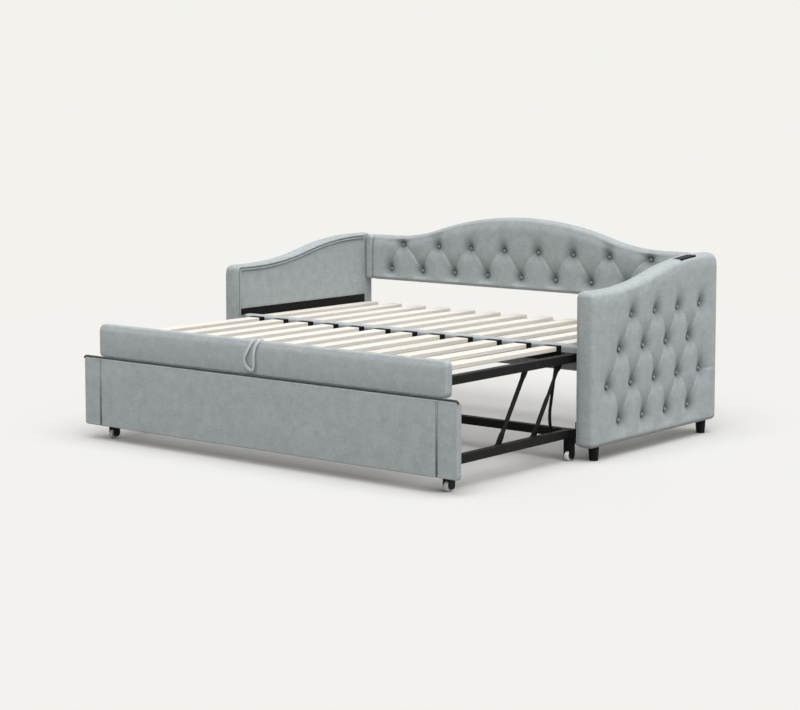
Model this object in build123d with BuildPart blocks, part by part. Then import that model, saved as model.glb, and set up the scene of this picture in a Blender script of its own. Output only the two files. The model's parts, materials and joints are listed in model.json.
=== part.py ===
# Upholstered daybed with a roll-out trundle whose slatted deck pops up level with the daybed.
# Millimetres. +X runs along the length, +Y to the back, +Z up. The origin is on the floor, in the
# middle of the footprint with the trundle rolled out and its deck raised.
import math
import os

from build123d import *

# Overall sizes
overall_length = 2088.0
daybed_depth = 995.0
trundle_reach = 895.0
crest_height = 917.0
foot_height = 58.0

# Arms
arm_thickness = 82.0
arm_front_height = 702.0
arm_rear_height = 804.0
arm_curve_start = 110.0
arm_curve_rear = 105.0
arm_front_corner = 24.0
arm_rear_corner = 36.0
arm_foot_corner = 20.0
arm_crown = 22.0
arm_frame_inset = 18.0
arm_frame_thickness = 48.0
inner_panel_thickness = 6.0
inner_panel_inset = 3.0
arm_piping_radius = 3.5
arm_piping_round = 2.5
arm_piping_insets = (9.0, 21.0)
arm_piping_foot = 70.0

# Diamond tufts of the arms: first button of each row from the arm's front, and the row's height
tuft_pitch = 184.0
arm_tuft_rows = ((313.0, 586.0, 4), (221.0, 446.0, 4), (129.0, 298.0, 5), (221.0, 149.0, 4))
tuft_radius = 52.0
tuft_depth = 16.0
pleat_side = 9.0
button_radius = 11.0
button_height = 6.0
button_round = 3.0
button_margin = 1.0

# Back
back_thickness = 65.0
back_bottom = 576.0
back_end_height = 798.0
crest_inflection = 500.0
crest_run_out = 776.0
back_corner = 14.0
back_crown = 13.0
back_post_round = 8.0
back_post_width = 50.0
back_post_setback = 6.0
back_frame_inset = 20.0
back_frame_thickness = 30.0
back_panel_thickness = 6.0
back_tuft_pitch = 199.0
back_upper_row = 756.0
back_lower_row = 632.0
back_upper_count = 8
back_lower_count = 9
back_end_shift = 24.0
back_tuft_radius = 40.0
back_tuft_depth = 14.0

# Daybed rails, ledges and slats
front_rail_setback = 45.0
rail_depth = 50.0
rail_bottom = 366.0
rail_top = 470.0
rail_round = 12.0
rail_wrap = 12.0
rear_rail_depth = 40.0
rear_rail_top = 440.0
ledge_depth = 25.0
ledge_height = 25.0
daybed_slat_top = 459.0
slat_thickness = 20.0
slat_width = 64.0
daybed_slat_count = 13
daybed_slat_pitch = 153.0
side_angle_top = 497.0
side_angle_thickness = 4.0
side_angle_flange = 30.0
side_angle_front = 27.0
bracket_size = 40.0
bracket_thickness = 4.0
bracket_drop = 4.0

# Feet
foot_top_radius = 23.0
foot_bottom_radius = 19.0
foot_round = 1.5
foot_inset = 41.0
foot_front = 66.0
foot_rear = 69.0
stud_radius = 4.0
stud_in_foot = 30.0
stud_in_frame = 42.0
stud_clearance = 0.1

# Charging socket let into the right arm's top, its middle measured from the arm's rear
socket_rear = 230.0
socket_length = 128.0
socket_width = 44.0
socket_depth = 34.0
socket_rim = 4.0
socket_cover_thickness = 5.0
socket_recess = 1.0
socket_cover_round = 0.5
socket_clearance = 0.3

# Trundle front panels
lower_panel_inset = 16.0
lower_panel_bottom = 64.0
lower_panel_top = 361.0
lower_panel_thickness = 28.0
lower_board_thickness = 14.0
panel_wrap = 18.0
lower_panel_round = 11.0
seam_inset = 100.0
seam_radius = 2.5
welt_radius = 3.0
upper_panel_gap = 4.0
upper_panel_bottom = 364.0
upper_panel_top = 506.0
upper_panel_setback = 23.0
upper_panel_thickness = 38.0
upper_board_thickness = 18.0
upper_panel_round = 15.0

# Trundle steel frames: square tubes
tube = 35.0
tube_wall = 2.0
tube_corner = 4.0
base_rail_gap = 17.0
base_rail_bottom = 98.0
base_overlap = 15.0
deck_rail_gap = 22.0
deck_rail_bottom = 407.0
deck_overlap = 40.0
panel_bracket_place = 600.0
panel_bracket_width = 40.0
panel_bracket_height = 170.0

# Casters
caster_leg = 34.0
caster_leg_bottom = 9.0
caster_leg_round = 15.0
caster_slot = 22.0
caster_slot_top = 52.0
wheel_radius = 20.0
wheel_width = 18.0
wheel_round = 3.0
wheel_trail = 6.0
axle_radius = 4.0
front_caster_gap = 54.0
running_clearance = 0.05
guide_length = 40.0
guide_height = 90.0
guide_thickness = 6.0

# Pop-up links, in side view measured from the arm fronts, forwards negative
front_link_foot = -456.0
rear_link_foot = -215.0
link_lean = 205.0
link_rise = 310.0
link_gap = 18.0
link_tube_radius = 11.0
rear_link_upper_radius = 7.0
lug_radius = 14.0
lug_thickness = 10.0
lug_length = 46.0
link_bracket_place = 223.0
link_bracket_length = 22.0
link_bracket_width = 14.0
link_bracket_turn = -45.0
pin_radius = 6.0
pin_head_radius = 11.0
pin_head = 6.0
pin_shoulder_radius = 9.0
shoulder_clearance = 0.5
stay_gap = 24.0
stay_foot_lean = 38.0
stay_bend_lean = 54.0
stay_bend_drop = 245.0
stay_drop = 300.0
stay_width = 18.0
stay_thickness = 10.0
catch_width = 16.0
catch_drop = 2.0
catch_gap = 3.0

# Trundle deck slats and their end caps
deck_slat_count = 12
deck_slat_pitch = 152.0
deck_slat_lift = 7.0
cap_width = 70.0
cap_depth = 34.0
cap_roof = 2.5
cap_rear_inset = 20.0
cap_back = 8.0
cap_clearance = 0.5

# Pull strap on the upper panel
strap_left = -37.0
strap_right = 19.0
strap_bulge = -80.0
strap_bulge_height = 445.0
strap_tip = -42.0
strap_tip_height = 389.0
strap_width = 16.0
strap_thickness = 4.0
strap_gap = 0.3

# Derived places
half_length = overall_length / 2
inner_face = half_length - arm_thickness
daybed_front = (trundle_reach - daybed_depth) / 2
daybed_back = daybed_front + daybed_depth
trundle_front = daybed_front - trundle_reach
cover_face = inner_face + inner_panel_thickness
arm_curve_end = daybed_depth - arm_curve_rear
socket_place = daybed_depth - socket_rear
front_rail_front = daybed_front + front_rail_setback
front_rail_back = front_rail_front + rail_depth
rear_rail_front = daybed_back - rear_rail_depth
slat_bottom = daybed_slat_top - slat_thickness
back_front = daybed_back - back_thickness
back_cover_rear = daybed_back - back_panel_thickness
back_half = inner_face - back_post_width
foot_x = inner_face + foot_inset
lower_panel_length = overall_length - 2 * lower_panel_inset
seam_place = lower_panel_length / 2 - seam_inset
lower_panel_back = trundle_front + lower_panel_thickness
upper_panel_length = 2 * (inner_face - upper_panel_gap)
upper_panel_front = trundle_front + upper_panel_setback
upper_panel_back = upper_panel_front + upper_panel_thickness
base_rear = daybed_front + base_overlap
deck_rear = daybed_front + deck_overlap
deck_slat_rear = deck_rear - cap_rear_inset
base_rail_outer = inner_face - base_rail_gap
base_rail_x = base_rail_outer - tube / 2
base_rail_z = base_rail_bottom + tube / 2
base_rail_top = base_rail_bottom + tube
deck_rail_outer = inner_face - deck_rail_gap
deck_rail_x = deck_rail_outer - tube / 2
deck_rail_z = deck_rail_bottom + tube / 2
deck_rail_top = deck_rail_bottom + tube
deck_slat_bottom = deck_rail_top + deck_slat_lift
cap_top = deck_slat_bottom + slat_thickness + cap_roof
rear_caster_y = base_rear - caster_leg / 2
front_caster_y = lower_panel_back + front_caster_gap
link_plane = base_rail_outer - tube - link_gap
stay_plane = link_plane - stay_gap
link_foot_height = base_rail_z
link_length = math.hypot(link_lean, link_rise)
link_angle = math.degrees(math.atan2(link_rise, link_lean))
link_top_height = link_foot_height + link_rise
link_feet = (daybed_front + front_link_foot, daybed_front + rear_link_foot)
rear_link_top = link_feet[1] + link_lean
stay_top = (rear_link_top, link_top_height)
stay_foot = (rear_link_top - stay_foot_lean, link_top_height - stay_drop)


def arm_outline(inset):
    """Side view of an arm drawn in by inset, as (depth from the arm front, height)."""
    front, back = inset, daybed_depth - inset
    bottom = foot_height + inset
    low, high = arm_front_height - inset, arm_rear_height - inset
    middle = ((arm_curve_start + arm_curve_end) / 2, (low + high) / 2)
    with BuildSketch() as outline:
        with BuildLine():
            Line((front, low), (front, bottom))
            Line((front, bottom), (back, bottom))
            Line((back, bottom), (back, high))
            Line((back, high), (arm_curve_end, high))
            fall = TangentArc((arm_curve_end, high), middle, tangent=(-1, 0))
            TangentArc(middle, (arm_curve_start, low), tangent=fall % 1)
            Line((arm_curve_start, low), (front, low))
        make_face()
        for corner, radius in (
            ((front, low), arm_front_corner),
            ((back, high), arm_rear_corner),
            ((front, bottom), arm_foot_corner),
            ((back, bottom), arm_foot_corner),
        ):
            fillet(outline.vertices().sort_by_distance((*corner, 0))[0], radius - inset)
    return outline.sketch


def arm_plane(x):
    """Side-view plane at x, its own first axis counted from the arm fronts."""
    return Plane(origin=(x, daybed_front, 0), x_dir=(0, 1, 0), z_dir=(1, 0, 0))


def back_outline(half_width, inset, corner):
    """Front view of the camel-topped back, as (x, height)."""
    end, crest = back_end_height - inset, crest_height - inset
    turn = end + (crest - end) * (crest_run_out - crest_inflection) / crest_run_out
    bottom = back_bottom + inset
    with BuildSketch() as outline:
        with BuildLine():
            Line((half_width, end), (half_width, bottom))
            Line((half_width, bottom), (-half_width, bottom))
            Line((-half_width, bottom), (-half_width, end))
            Line((-half_width, end), (-crest_run_out, end))
            climb = TangentArc((-crest_run_out, end), (-crest_inflection, turn), tangent=(1, 0))
            over = TangentArc((-crest_inflection, turn), (crest_inflection, turn), tangent=climb % 1)
            TangentArc((crest_inflection, turn), (crest_run_out, end), tangent=over % 1)
            Line((crest_run_out, end), (half_width, end))
        make_face()
        if corner:
            ends = outline.vertices().group_by(Axis.X)
            fillet(ends[0] + ends[-1], corner)
    return outline.sketch


def row_points(first, height, count, pitch):
    """Button centres of one row."""
    return [(first + pitch * number, height) for number in range(count)]


def pleats(rows, reach):
    """Middle, length and slope of each pleat between neighbouring buttons of adjoining rows."""
    lines = []
    for upper, lower in zip(rows, rows[1:]):
        for high in upper:
            for low in lower:
                if abs(high[0] - low[0]) < reach:
                    run, rise = high[0] - low[0], high[1] - low[1]
                    middle = ((high[0] + low[0]) / 2, (high[1] + low[1]) / 2)
                    lines.append((middle, math.hypot(run, rise), math.degrees(math.atan2(rise, run))))
    return lines


arm_rows = [row_points(first, height, count, tuft_pitch) for first, height, count in arm_tuft_rows]
arm_buttons_at = [point for row in arm_rows for point in row]
back_upper_first = -back_tuft_pitch * (back_upper_count - 1) / 2
back_lower_first = -back_tuft_pitch * (back_lower_count - 1) / 2
back_rows = [
    [(back_upper_first - back_end_shift, back_upper_row)]
    + row_points(back_upper_first + back_tuft_pitch, back_upper_row, back_upper_count - 2, back_tuft_pitch)
    + [(back_end_shift - back_upper_first, back_upper_row)],
    row_points(back_lower_first, back_lower_row, back_lower_count, back_tuft_pitch),
]
back_buttons_at = [point for row in back_rows for point in row]

# Place of the socket on the arm's curved top, and the slope there
arm_half_run = (arm_curve_end - arm_curve_start) / 2
arm_half_rise = (arm_rear_height - arm_front_height) / 2
arm_curve_radius = (arm_half_run**2 + arm_half_rise**2) / (2 * arm_half_rise)
socket_run = arm_curve_end - socket_place
socket_fall = arm_curve_radius - math.sqrt(arm_curve_radius**2 - socket_run**2)
socket_slope = math.asin(socket_run / arm_curve_radius)
socket_plane = Plane(
    origin=(foot_x, daybed_front + socket_place, arm_rear_height - socket_fall - socket_recess),
    x_dir=(0, math.cos(socket_slope), math.sin(socket_slope)),
    z_dir=(0, -math.sin(socket_slope), math.cos(socket_slope)),
)
foot_places = [
    (side * foot_x, place)
    for side in (-1, 1)
    for place in (daybed_front + foot_front, daybed_back - foot_rear)
]
right_foot_places = [place for place in foot_places if place[0] > 0]

# Arm cover: tufted outside, with a pocket for the frame behind it
with BuildPart() as plain_arm_cover:
    with BuildSketch(arm_plane(cover_face)):
        add(arm_outline(0))
    extrude(amount=arm_thickness - inner_panel_thickness)
    fillet(plain_arm_cover.faces().sort_by(Axis.X)[-1].edges(), arm_crown)
    with BuildSketch(arm_plane(cover_face)):
        add(arm_outline(arm_frame_inset))
    extrude(amount=arm_frame_thickness, mode=Mode.SUBTRACT)
    with Locations(arm_plane(half_length)):
        with Locations(*[(y, z, -tuft_depth / 2) for y, z in arm_buttons_at]):
            Cone(button_radius + button_margin, tuft_radius, tuft_depth, mode=Mode.SUBTRACT)
        for middle, length, slope in pleats(arm_rows, tuft_pitch):
            with Locations(Location((*middle, 0), (0, 0, slope))):
                Box(length, pleat_side, pleat_side, rotation=(45, 0, 0), mode=Mode.SUBTRACT)
    with Locations(*[(x, y, foot_height + arm_frame_inset / 2) for x, y in right_foot_places]):
        Cylinder(stud_radius + stud_clearance, arm_frame_inset, mode=Mode.SUBTRACT)

with BuildPart() as left_arm_cover:
    mirror(plain_arm_cover.part, about=Plane.YZ)

with BuildPart() as right_arm_cover:
    add(plain_arm_cover.part)
    with Locations(socket_plane):
        Box(
            socket_length + 2 * socket_clearance,
            socket_width + 2 * socket_clearance,
            2 * socket_depth,
            mode=Mode.SUBTRACT,
        )

# Arm frame: the board inside the cover
with BuildPart() as plain_arm_frame:
    with BuildSketch(arm_plane(cover_face)):
        add(arm_outline(arm_frame_inset + stud_clearance))
    extrude(amount=arm_frame_thickness)
    with Locations(*[(x, y, foot_height + arm_frame_inset) for x, y in right_foot_places]):
        Cylinder(stud_radius + stud_clearance, 2 * stud_in_frame, mode=Mode.SUBTRACT)

with BuildPart() as left_arm_frame:
    mirror(plain_arm_frame.part, about=Plane.YZ)

with BuildPart() as right_arm_frame:
    add(plain_arm_frame.part)
    with Locations(socket_plane):
        Box(
            socket_length + 2 * socket_clearance,
            socket_width + 2 * socket_clearance,
            2 * socket_depth,
            mode=Mode.SUBTRACT,
        )

# Plain inner face of each arm
with BuildPart() as right_arm_inner_panel:
    with BuildSketch(arm_plane(inner_face)):
        add(arm_outline(inner_panel_inset))
    extrude(amount=inner_panel_thickness)

with BuildPart() as left_arm_inner_panel:
    mirror(right_arm_inner_panel.part, about=Plane.YZ)

# Double piping up the front and along the top of each inner face
with BuildPart() as arm_piping:
    piping_end = daybed_depth - back_thickness - 2 * arm_piping_radius
    for inset in arm_piping_insets:
        low, high = arm_front_height - inset, arm_rear_height - inset
        middle = ((arm_curve_start + arm_curve_end) / 2, (low + high) / 2)
        bend = arm_front_corner - inset / 2
        with BuildSketch(arm_plane(inner_face - 2 * arm_piping_radius)):
            with BuildLine():
                Line((inset, arm_piping_foot), (inset, low - bend))
                TangentArc((inset, low - bend), (inset + bend, low), tangent=(0, 1))
                Line((inset + bend, low), (arm_curve_start, low))
                climb = TangentArc((arm_curve_start, low), middle, tangent=(1, 0))
                TangentArc(middle, (arm_curve_end, high), tangent=climb % 1)
                Line((arm_curve_end, high), (piping_end, high))
                offset(amount=arm_piping_radius)
            make_face()
        extrude(amount=2 * arm_piping_radius)
    fillet(arm_piping.faces().group_by(Axis.X)[0].edges(), arm_piping_round)
    mirror(about=Plane.YZ)

# Covered buttons, seated at the bottom of the tufts
with BuildPart() as arm_buttons:
    with Locations(arm_plane(half_length - tuft_depth)):
        with Locations(*[(y, z, button_height / 2) for y, z in arm_buttons_at]):
            Cylinder(button_radius, button_height)
    fillet(arm_buttons.faces().group_by(Axis.X)[-1].edges(), button_round)
    mirror(about=Plane.YZ)

# Back: tufted cover with a pocket for the frame, rear panel, end posts and buttons
with BuildPart() as back_cover:
    with BuildSketch(Plane.XZ.offset(-back_cover_rear)):
        add(back_outline(back_half, 0, back_corner))
    extrude(amount=back_cover_rear - back_front)
    fillet(back_cover.faces().sort_by(Axis.Y)[0].edges(), back_crown)
    with BuildSketch(Plane.XZ.offset(-back_cover_rear)):
        add(back_outline(back_half - back_frame_inset, back_frame_inset, 0))
    extrude(amount=back_frame_thickness, mode=Mode.SUBTRACT)
    with Locations(Plane.XZ.offset(-back_front)):
        with Locations(*[(x, z, -back_tuft_depth / 2) for x, z in back_buttons_at]):
            Cone(button_radius + button_margin, back_tuft_radius, back_tuft_depth, mode=Mode.SUBTRACT)
        for middle, length, slope in pleats(back_rows, back_tuft_pitch):
            with Locations(Location((*middle, 0), (0, 0, slope))):
                Box(length, pleat_side, pleat_side, rotation=(45, 0, 0), mode=Mode.SUBTRACT)

with BuildPart() as back_frame:
    with BuildSketch(Plane.XZ.offset(-back_cover_rear)):
        inset = back_frame_inset + stud_clearance
        add(back_outline(back_half - inset, inset, 0))
    extrude(amount=back_frame_thickness)

with BuildPart() as back_rear_panel:
    with BuildSketch(Plane.XZ.offset(-daybed_back)):
        add(back_outline(inner_face, inner_panel_inset, 0))
    extrude(amount=back_panel_thickness)

with BuildPart() as back_posts:
    post_depth = back_thickness - back_panel_thickness - back_post_setback
    post_height = back_end_height - back_bottom
    post_y = back_cover_rear - post_depth / 2
    post_z = back_bottom + post_height / 2
    with Locations(((inner_face + back_half) / 2, post_y, post_z)):
        Box(back_post_width, post_depth, post_height)
    fillet(back_posts.faces().sort_by(Axis.Y)[0].edges().filter_by(Axis.Z), back_post_round)
    mirror(about=Plane.YZ)

with BuildPart() as back_buttons:
    with Locations(Plane.XZ.offset(-back_front - back_tuft_depth)):
        with Locations(*[(x, z, button_height / 2) for x, z in back_buttons_at]):
            Cylinder(button_radius, button_height)
    fillet(back_buttons.faces().group_by(Axis.Y)[0].edges(), button_round)

# Front rail between the arms: a board wrapped in a padded cover, and the plain rear rail
with BuildPart() as front_rail_cover:
    rail_height = rail_top - rail_bottom
    rail_z = (rail_top + rail_bottom) / 2
    with Locations((0, (front_rail_front + front_rail_back) / 2, rail_z)):
        Box(2 * inner_face, rail_depth, rail_height)
    fillet(front_rail_cover.faces().sort_by(Axis.Y)[0].edges().filter_by(Axis.X), rail_round)
    with Locations((0, front_rail_back - (rail_depth - rail_wrap) / 2, rail_z)):
        Box(
            2 * (inner_face - rail_wrap),
            rail_depth - rail_wrap,
            rail_height - 2 * rail_wrap,
            mode=Mode.SUBTRACT,
        )

with BuildPart() as front_rail_board:
    with Locations((0, front_rail_back - (rail_depth - rail_wrap) / 2, rail_z)):
        Box(2 * (inner_face - rail_wrap), rail_depth - rail_wrap, rail_height - 2 * rail_wrap)

with BuildPart() as rear_rail:
    with Locations((0, rear_rail_front + rear_rail_depth / 2, (rear_rail_top + rail_bottom) / 2)):
        Box(2 * inner_face, rear_rail_depth, rear_rail_top - rail_bottom)
    fillet(rear_rail.edges().filter_by(Axis.X), rail_round / 2)

# Ledges that carry the daybed's slats, on the inner faces of the two rails
with BuildPart() as slat_ledges:
    for ledge_y in (front_rail_back + ledge_depth / 2, rear_rail_front - ledge_depth / 2):
        with Locations((0, ledge_y, slat_bottom - ledge_height / 2)):
            Box(2 * inner_face, ledge_depth, ledge_height)

with BuildPart() as daybed_slats:
    slat_length = rear_rail_front - front_rail_back
    with Locations((0, front_rail_back + slat_length / 2, slat_bottom + slat_thickness / 2)):
        with GridLocations(daybed_slat_pitch, 0, daybed_slat_count, 1):
            Box(slat_width, slat_length, slat_thickness)

# Steel angle along each arm: an upright flange beside the mattress, a flat one under the end slat
with BuildPart() as right_side_angle:
    angle_front = daybed_front + side_angle_front
    with BuildSketch(Plane.YZ.offset(inner_face - side_angle_thickness)):
        with BuildLine():
            Polyline(
                (angle_front, rail_top),
                (front_rail_back, rail_top),
                (front_rail_back, slat_bottom),
                (back_front, slat_bottom),
                (back_front, side_angle_top),
                (angle_front, side_angle_top),
                close=True,
            )
        make_face()
    extrude(amount=side_angle_thickness)
    flange_front = front_rail_back + ledge_depth
    flange_length = rear_rail_front - ledge_depth - flange_front
    flange_x = inner_face - side_angle_flange / 2
    with Locations((flange_x, flange_front + flange_length / 2, slat_bottom - side_angle_thickness / 2)):
        Box(side_angle_flange, flange_length, side_angle_thickness)

with BuildPart() as left_side_angle:
    mirror(right_side_angle.part, about=Plane.YZ)

# Angle brackets that hold the rails to the arms, below the ledges
with BuildPart() as rail_brackets:
    bracket_top = slat_bottom - ledge_height - bracket_drop
    bracket_z = bracket_top - bracket_size / 2
    for face_y, towards in ((front_rail_back, 1), (rear_rail_front, -1)):
        with Locations((inner_face - bracket_thickness / 2, face_y + towards * bracket_size / 2, bracket_z)):
            Box(bracket_thickness, bracket_size, bracket_size)
        with Locations((inner_face - bracket_size / 2, face_y + towards * bracket_thickness / 2, bracket_z)):
            Box(bracket_size, bracket_thickness, bracket_size)
    mirror(about=Plane.YZ)

# Feet and the studs that hold them
with BuildPart() as feet:
    with Locations(*[(x, y, foot_height / 2) for x, y in foot_places]):
        Cone(foot_bottom_radius, foot_top_radius, foot_height)
    with Locations(*[(x, y, foot_height) for x, y in foot_places]):
        Cylinder(stud_radius + stud_clearance, 2 * stud_in_foot, mode=Mode.SUBTRACT)
    fillet(feet.faces().group_by(Axis.Z)[0].edges(), foot_round)

with BuildPart() as foot_studs:
    stud_length = stud_in_foot + arm_frame_inset + stud_in_frame
    with Locations(*[(x, y, foot_height - stud_in_foot + stud_length / 2) for x, y in foot_places]):
        Cylinder(stud_radius, stud_length)

# Charging socket: a housing with a cover over each outlet
with BuildPart() as charging_socket:
    with Locations(socket_plane):
        with Locations((0, 0, -socket_depth / 2)):
            Box(socket_length, socket_width, socket_depth)
        cover_length = (socket_length - 3 * socket_rim) / 2
        cover_width = socket_width - 2 * socket_rim
        with Locations((0, 0, -socket_cover_thickness / 2)):
            with GridLocations(cover_length + socket_rim, 0, 2, 1):
                Box(cover_length, cover_width, socket_cover_thickness, mode=Mode.SUBTRACT)

with BuildPart() as socket_covers:
    with Locations(socket_plane):
        with Locations((0, 0, -socket_cover_thickness / 2)):
            with GridLocations(cover_length + socket_rim, 0, 2, 1):
                Box(
                    cover_length - 2 * socket_clearance,
                    cover_width - 2 * socket_clearance,
                    socket_cover_thickness,
                )
    socket_axis = Axis(socket_plane.origin, socket_plane.z_dir)
    fillet(socket_covers.faces().group_by(socket_axis)[-1].edges(), socket_cover_round)

# Lower front panel of the trundle: board in a padded cover with two sewn seams and a welt on top
with BuildPart() as lower_panel_cover:
    lower_panel_height = lower_panel_top - lower_panel_bottom
    lower_panel_z = (lower_panel_top + lower_panel_bottom) / 2
    with Locations((0, trundle_front + lower_panel_thickness / 2, lower_panel_z)):
        Box(lower_panel_length, lower_panel_thickness, lower_panel_height)
    fillet(lower_panel_cover.faces().sort_by(Axis.Y)[0].edges(), lower_panel_round)
    board_y = lower_panel_back - lower_board_thickness / 2
    with Locations((0, board_y, lower_panel_z)):
        Box(
            lower_panel_length - 2 * panel_wrap,
            lower_board_thickness,
            lower_panel_height - 2 * panel_wrap,
            mode=Mode.SUBTRACT,
        )
    with Locations((-seam_place, trundle_front, lower_panel_z), (seam_place, trundle_front, lower_panel_z)):
        Box(2 * seam_radius, 4 * seam_radius, lower_panel_height, mode=Mode.SUBTRACT)

with BuildPart() as lower_panel_board:
    with Locations((0, board_y, lower_panel_z)):
        Box(
            lower_panel_length - 2 * panel_wrap,
            lower_board_thickness,
            lower_panel_height - 2 * panel_wrap,
        )

with BuildPart() as lower_panel_piping:
    piping_height = lower_panel_height - 2 * lower_panel_round
    piping_y = trundle_front + seam_radius
    with Locations((-seam_place, piping_y, lower_panel_z), (seam_place, piping_y, lower_panel_z)):
        Cylinder(seam_radius, piping_height)
    welt_y = trundle_front + lower_panel_thickness / 2
    with Locations(Location((0, welt_y, lower_panel_top + welt_radius), (0, 90, 0))):
        Cylinder(welt_radius, lower_panel_length - 2 * lower_panel_round)

# Upper front panel, on the deck
with BuildPart() as upper_panel_cover:
    upper_panel_height = upper_panel_top - upper_panel_bottom
    upper_panel_z = (upper_panel_top + upper_panel_bottom) / 2
    with Locations((0, upper_panel_front + upper_panel_thickness / 2, upper_panel_z)):
        Box(upper_panel_length, upper_panel_thickness, upper_panel_height)
    fillet(upper_panel_cover.faces().sort_by(Axis.Y)[0].edges(), upper_panel_round)
    upper_board_y = upper_panel_back - upper_board_thickness / 2
    with Locations((0, upper_board_y, upper_panel_z)):
        Box(
            upper_panel_length - 2 * panel_wrap,
            upper_board_thickness,
            upper_panel_height - 2 * panel_wrap,
            mode=Mode.SUBTRACT,
        )

with BuildPart() as upper_panel_board:
    with Locations((0, upper_board_y, upper_panel_z)):
        Box(
            upper_panel_length - 2 * panel_wrap,
            upper_board_thickness,
            upper_panel_height - 2 * panel_wrap,
        )


def tube_section():
    """Section of the square frame tube, about its middle."""
    with BuildSketch() as section:
        RectangleRounded(tube, tube, tube_corner)
        inner = tube - 2 * tube_wall
        RectangleRounded(inner, inner, tube_corner - tube_wall, mode=Mode.SUBTRACT)
    return section.sketch


# Side-to-side places that the pins take up, from the rail outwards to the link
base_pin_length = base_rail_outer - link_plane + lug_thickness / 2 + shoulder_clearance
deck_pin_length = deck_rail_outer - link_plane + lug_thickness / 2 + shoulder_clearance
stay_pin_length = deck_rail_outer - stay_plane + stay_thickness / 2 + shoulder_clearance

# Lower frame of the trundle
with BuildPart() as right_base_rail:
    base_rail_length = base_rear - lower_panel_back
    with BuildSketch(Plane(origin=(base_rail_x, lower_panel_back, base_rail_z), z_dir=(0, 1, 0))):
        add(tube_section())
    extrude(amount=base_rail_length)
    with Locations(*[Location((base_rail_x, y, link_foot_height), (0, 90, 0)) for y in link_feet]):
        Cylinder(pin_radius, 2 * tube, mode=Mode.SUBTRACT)

with BuildPart() as left_base_rail:
    mirror(right_base_rail.part, about=Plane.YZ)

base_cross_length = 2 * (base_rail_outer - tube)
with BuildPart() as base_front_rail:
    front_plane = Plane(
        origin=(-base_cross_length / 2, lower_panel_back + tube / 2, base_rail_z), z_dir=(1, 0, 0)
    )
    with BuildSketch(front_plane):
        add(tube_section())
    extrude(amount=base_cross_length)

with BuildPart() as base_rear_rail:
    rear_plane = Plane(origin=(-base_cross_length / 2, base_rear - tube / 2, base_rail_z), z_dir=(1, 0, 0))
    with BuildSketch(rear_plane):
        add(tube_section())
    extrude(amount=base_cross_length)

with BuildPart() as panel_brackets:
    upright_z = base_rail_top + panel_bracket_height / 2
    with Locations((panel_bracket_place, lower_panel_back + bracket_thickness / 2, upright_z)):
        Box(panel_bracket_width, bracket_thickness, panel_bracket_height)
    with Locations((panel_bracket_place, lower_panel_back + tube / 2, base_rail_top + bracket_thickness / 2)):
        Box(panel_bracket_width, tube, bracket_thickness)
    mirror(about=Plane.YZ)

with BuildPart() as guide_plates:
    guide_x = base_rail_outer + guide_thickness / 2
    with Locations((guide_x, base_rear, base_rail_z)):
        Box(guide_thickness, 2 * guide_length, guide_height)
    with Locations((guide_x, base_rear - guide_length / 2, base_rail_z)):
        for rail_side in (-1, 1):
            with Locations((0, 0, rail_side * guide_height / 2)):
                Box(guide_thickness, guide_length, guide_height - tube, mode=Mode.SUBTRACT)
    mirror(about=Plane.YZ)


def caster_leg_solid(place_y):
    """Right-hand caster leg under the side rail, slotted for its wheel, at place_y."""
    with BuildPart() as leg:
        leg_height = base_rail_bottom - caster_leg_bottom
        with Locations((base_rail_x, place_y, caster_leg_bottom + leg_height / 2)):
            Box(caster_leg, caster_leg, leg_height)
        fillet(leg.faces().sort_by(Axis.Z)[0].edges().filter_by(Axis.X), caster_leg_round)
        with Locations((base_rail_x, place_y, caster_slot_top / 2)):
            Box(caster_slot, 2 * caster_leg, caster_slot_top, mode=Mode.SUBTRACT)
        with Locations(Location((base_rail_x, place_y - wheel_trail, wheel_radius), (0, 90, 0))):
            Cylinder(axle_radius, 2 * caster_leg, mode=Mode.SUBTRACT)
    return leg.part


def wheel_solid(place_x, place_y):
    """Caster wheel with a grooved tread and a bore that runs on its axle."""
    with BuildPart() as wheel:
        with Locations(Location((place_x, place_y - wheel_trail, wheel_radius), (0, 90, 0))):
            Cylinder(wheel_radius, wheel_width)
            fillet(wheel.edges(), wheel_round)
            Cylinder(axle_radius + running_clearance, wheel_width, mode=Mode.SUBTRACT)
    return wheel.part


with BuildPart() as front_caster_legs:
    add(caster_leg_solid(front_caster_y))
    mirror(about=Plane.YZ)

with BuildPart() as rear_caster_legs:
    add(caster_leg_solid(rear_caster_y))
    mirror(about=Plane.YZ)

with BuildPart() as caster_axles:
    for caster_y in (front_caster_y, rear_caster_y):
        with Locations(Location((base_rail_x, caster_y - wheel_trail, wheel_radius), (0, 90, 0))):
            Cylinder(axle_radius, caster_leg)
    mirror(about=Plane.YZ)

with BuildPart() as front_left_wheel:
    add(wheel_solid(-base_rail_x, front_caster_y))
with BuildPart() as front_right_wheel:
    add(wheel_solid(base_rail_x, front_caster_y))
with BuildPart() as rear_left_wheel:
    add(wheel_solid(-base_rail_x, rear_caster_y))
with BuildPart() as rear_right_wheel:
    add(wheel_solid(base_rail_x, rear_caster_y))

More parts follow.
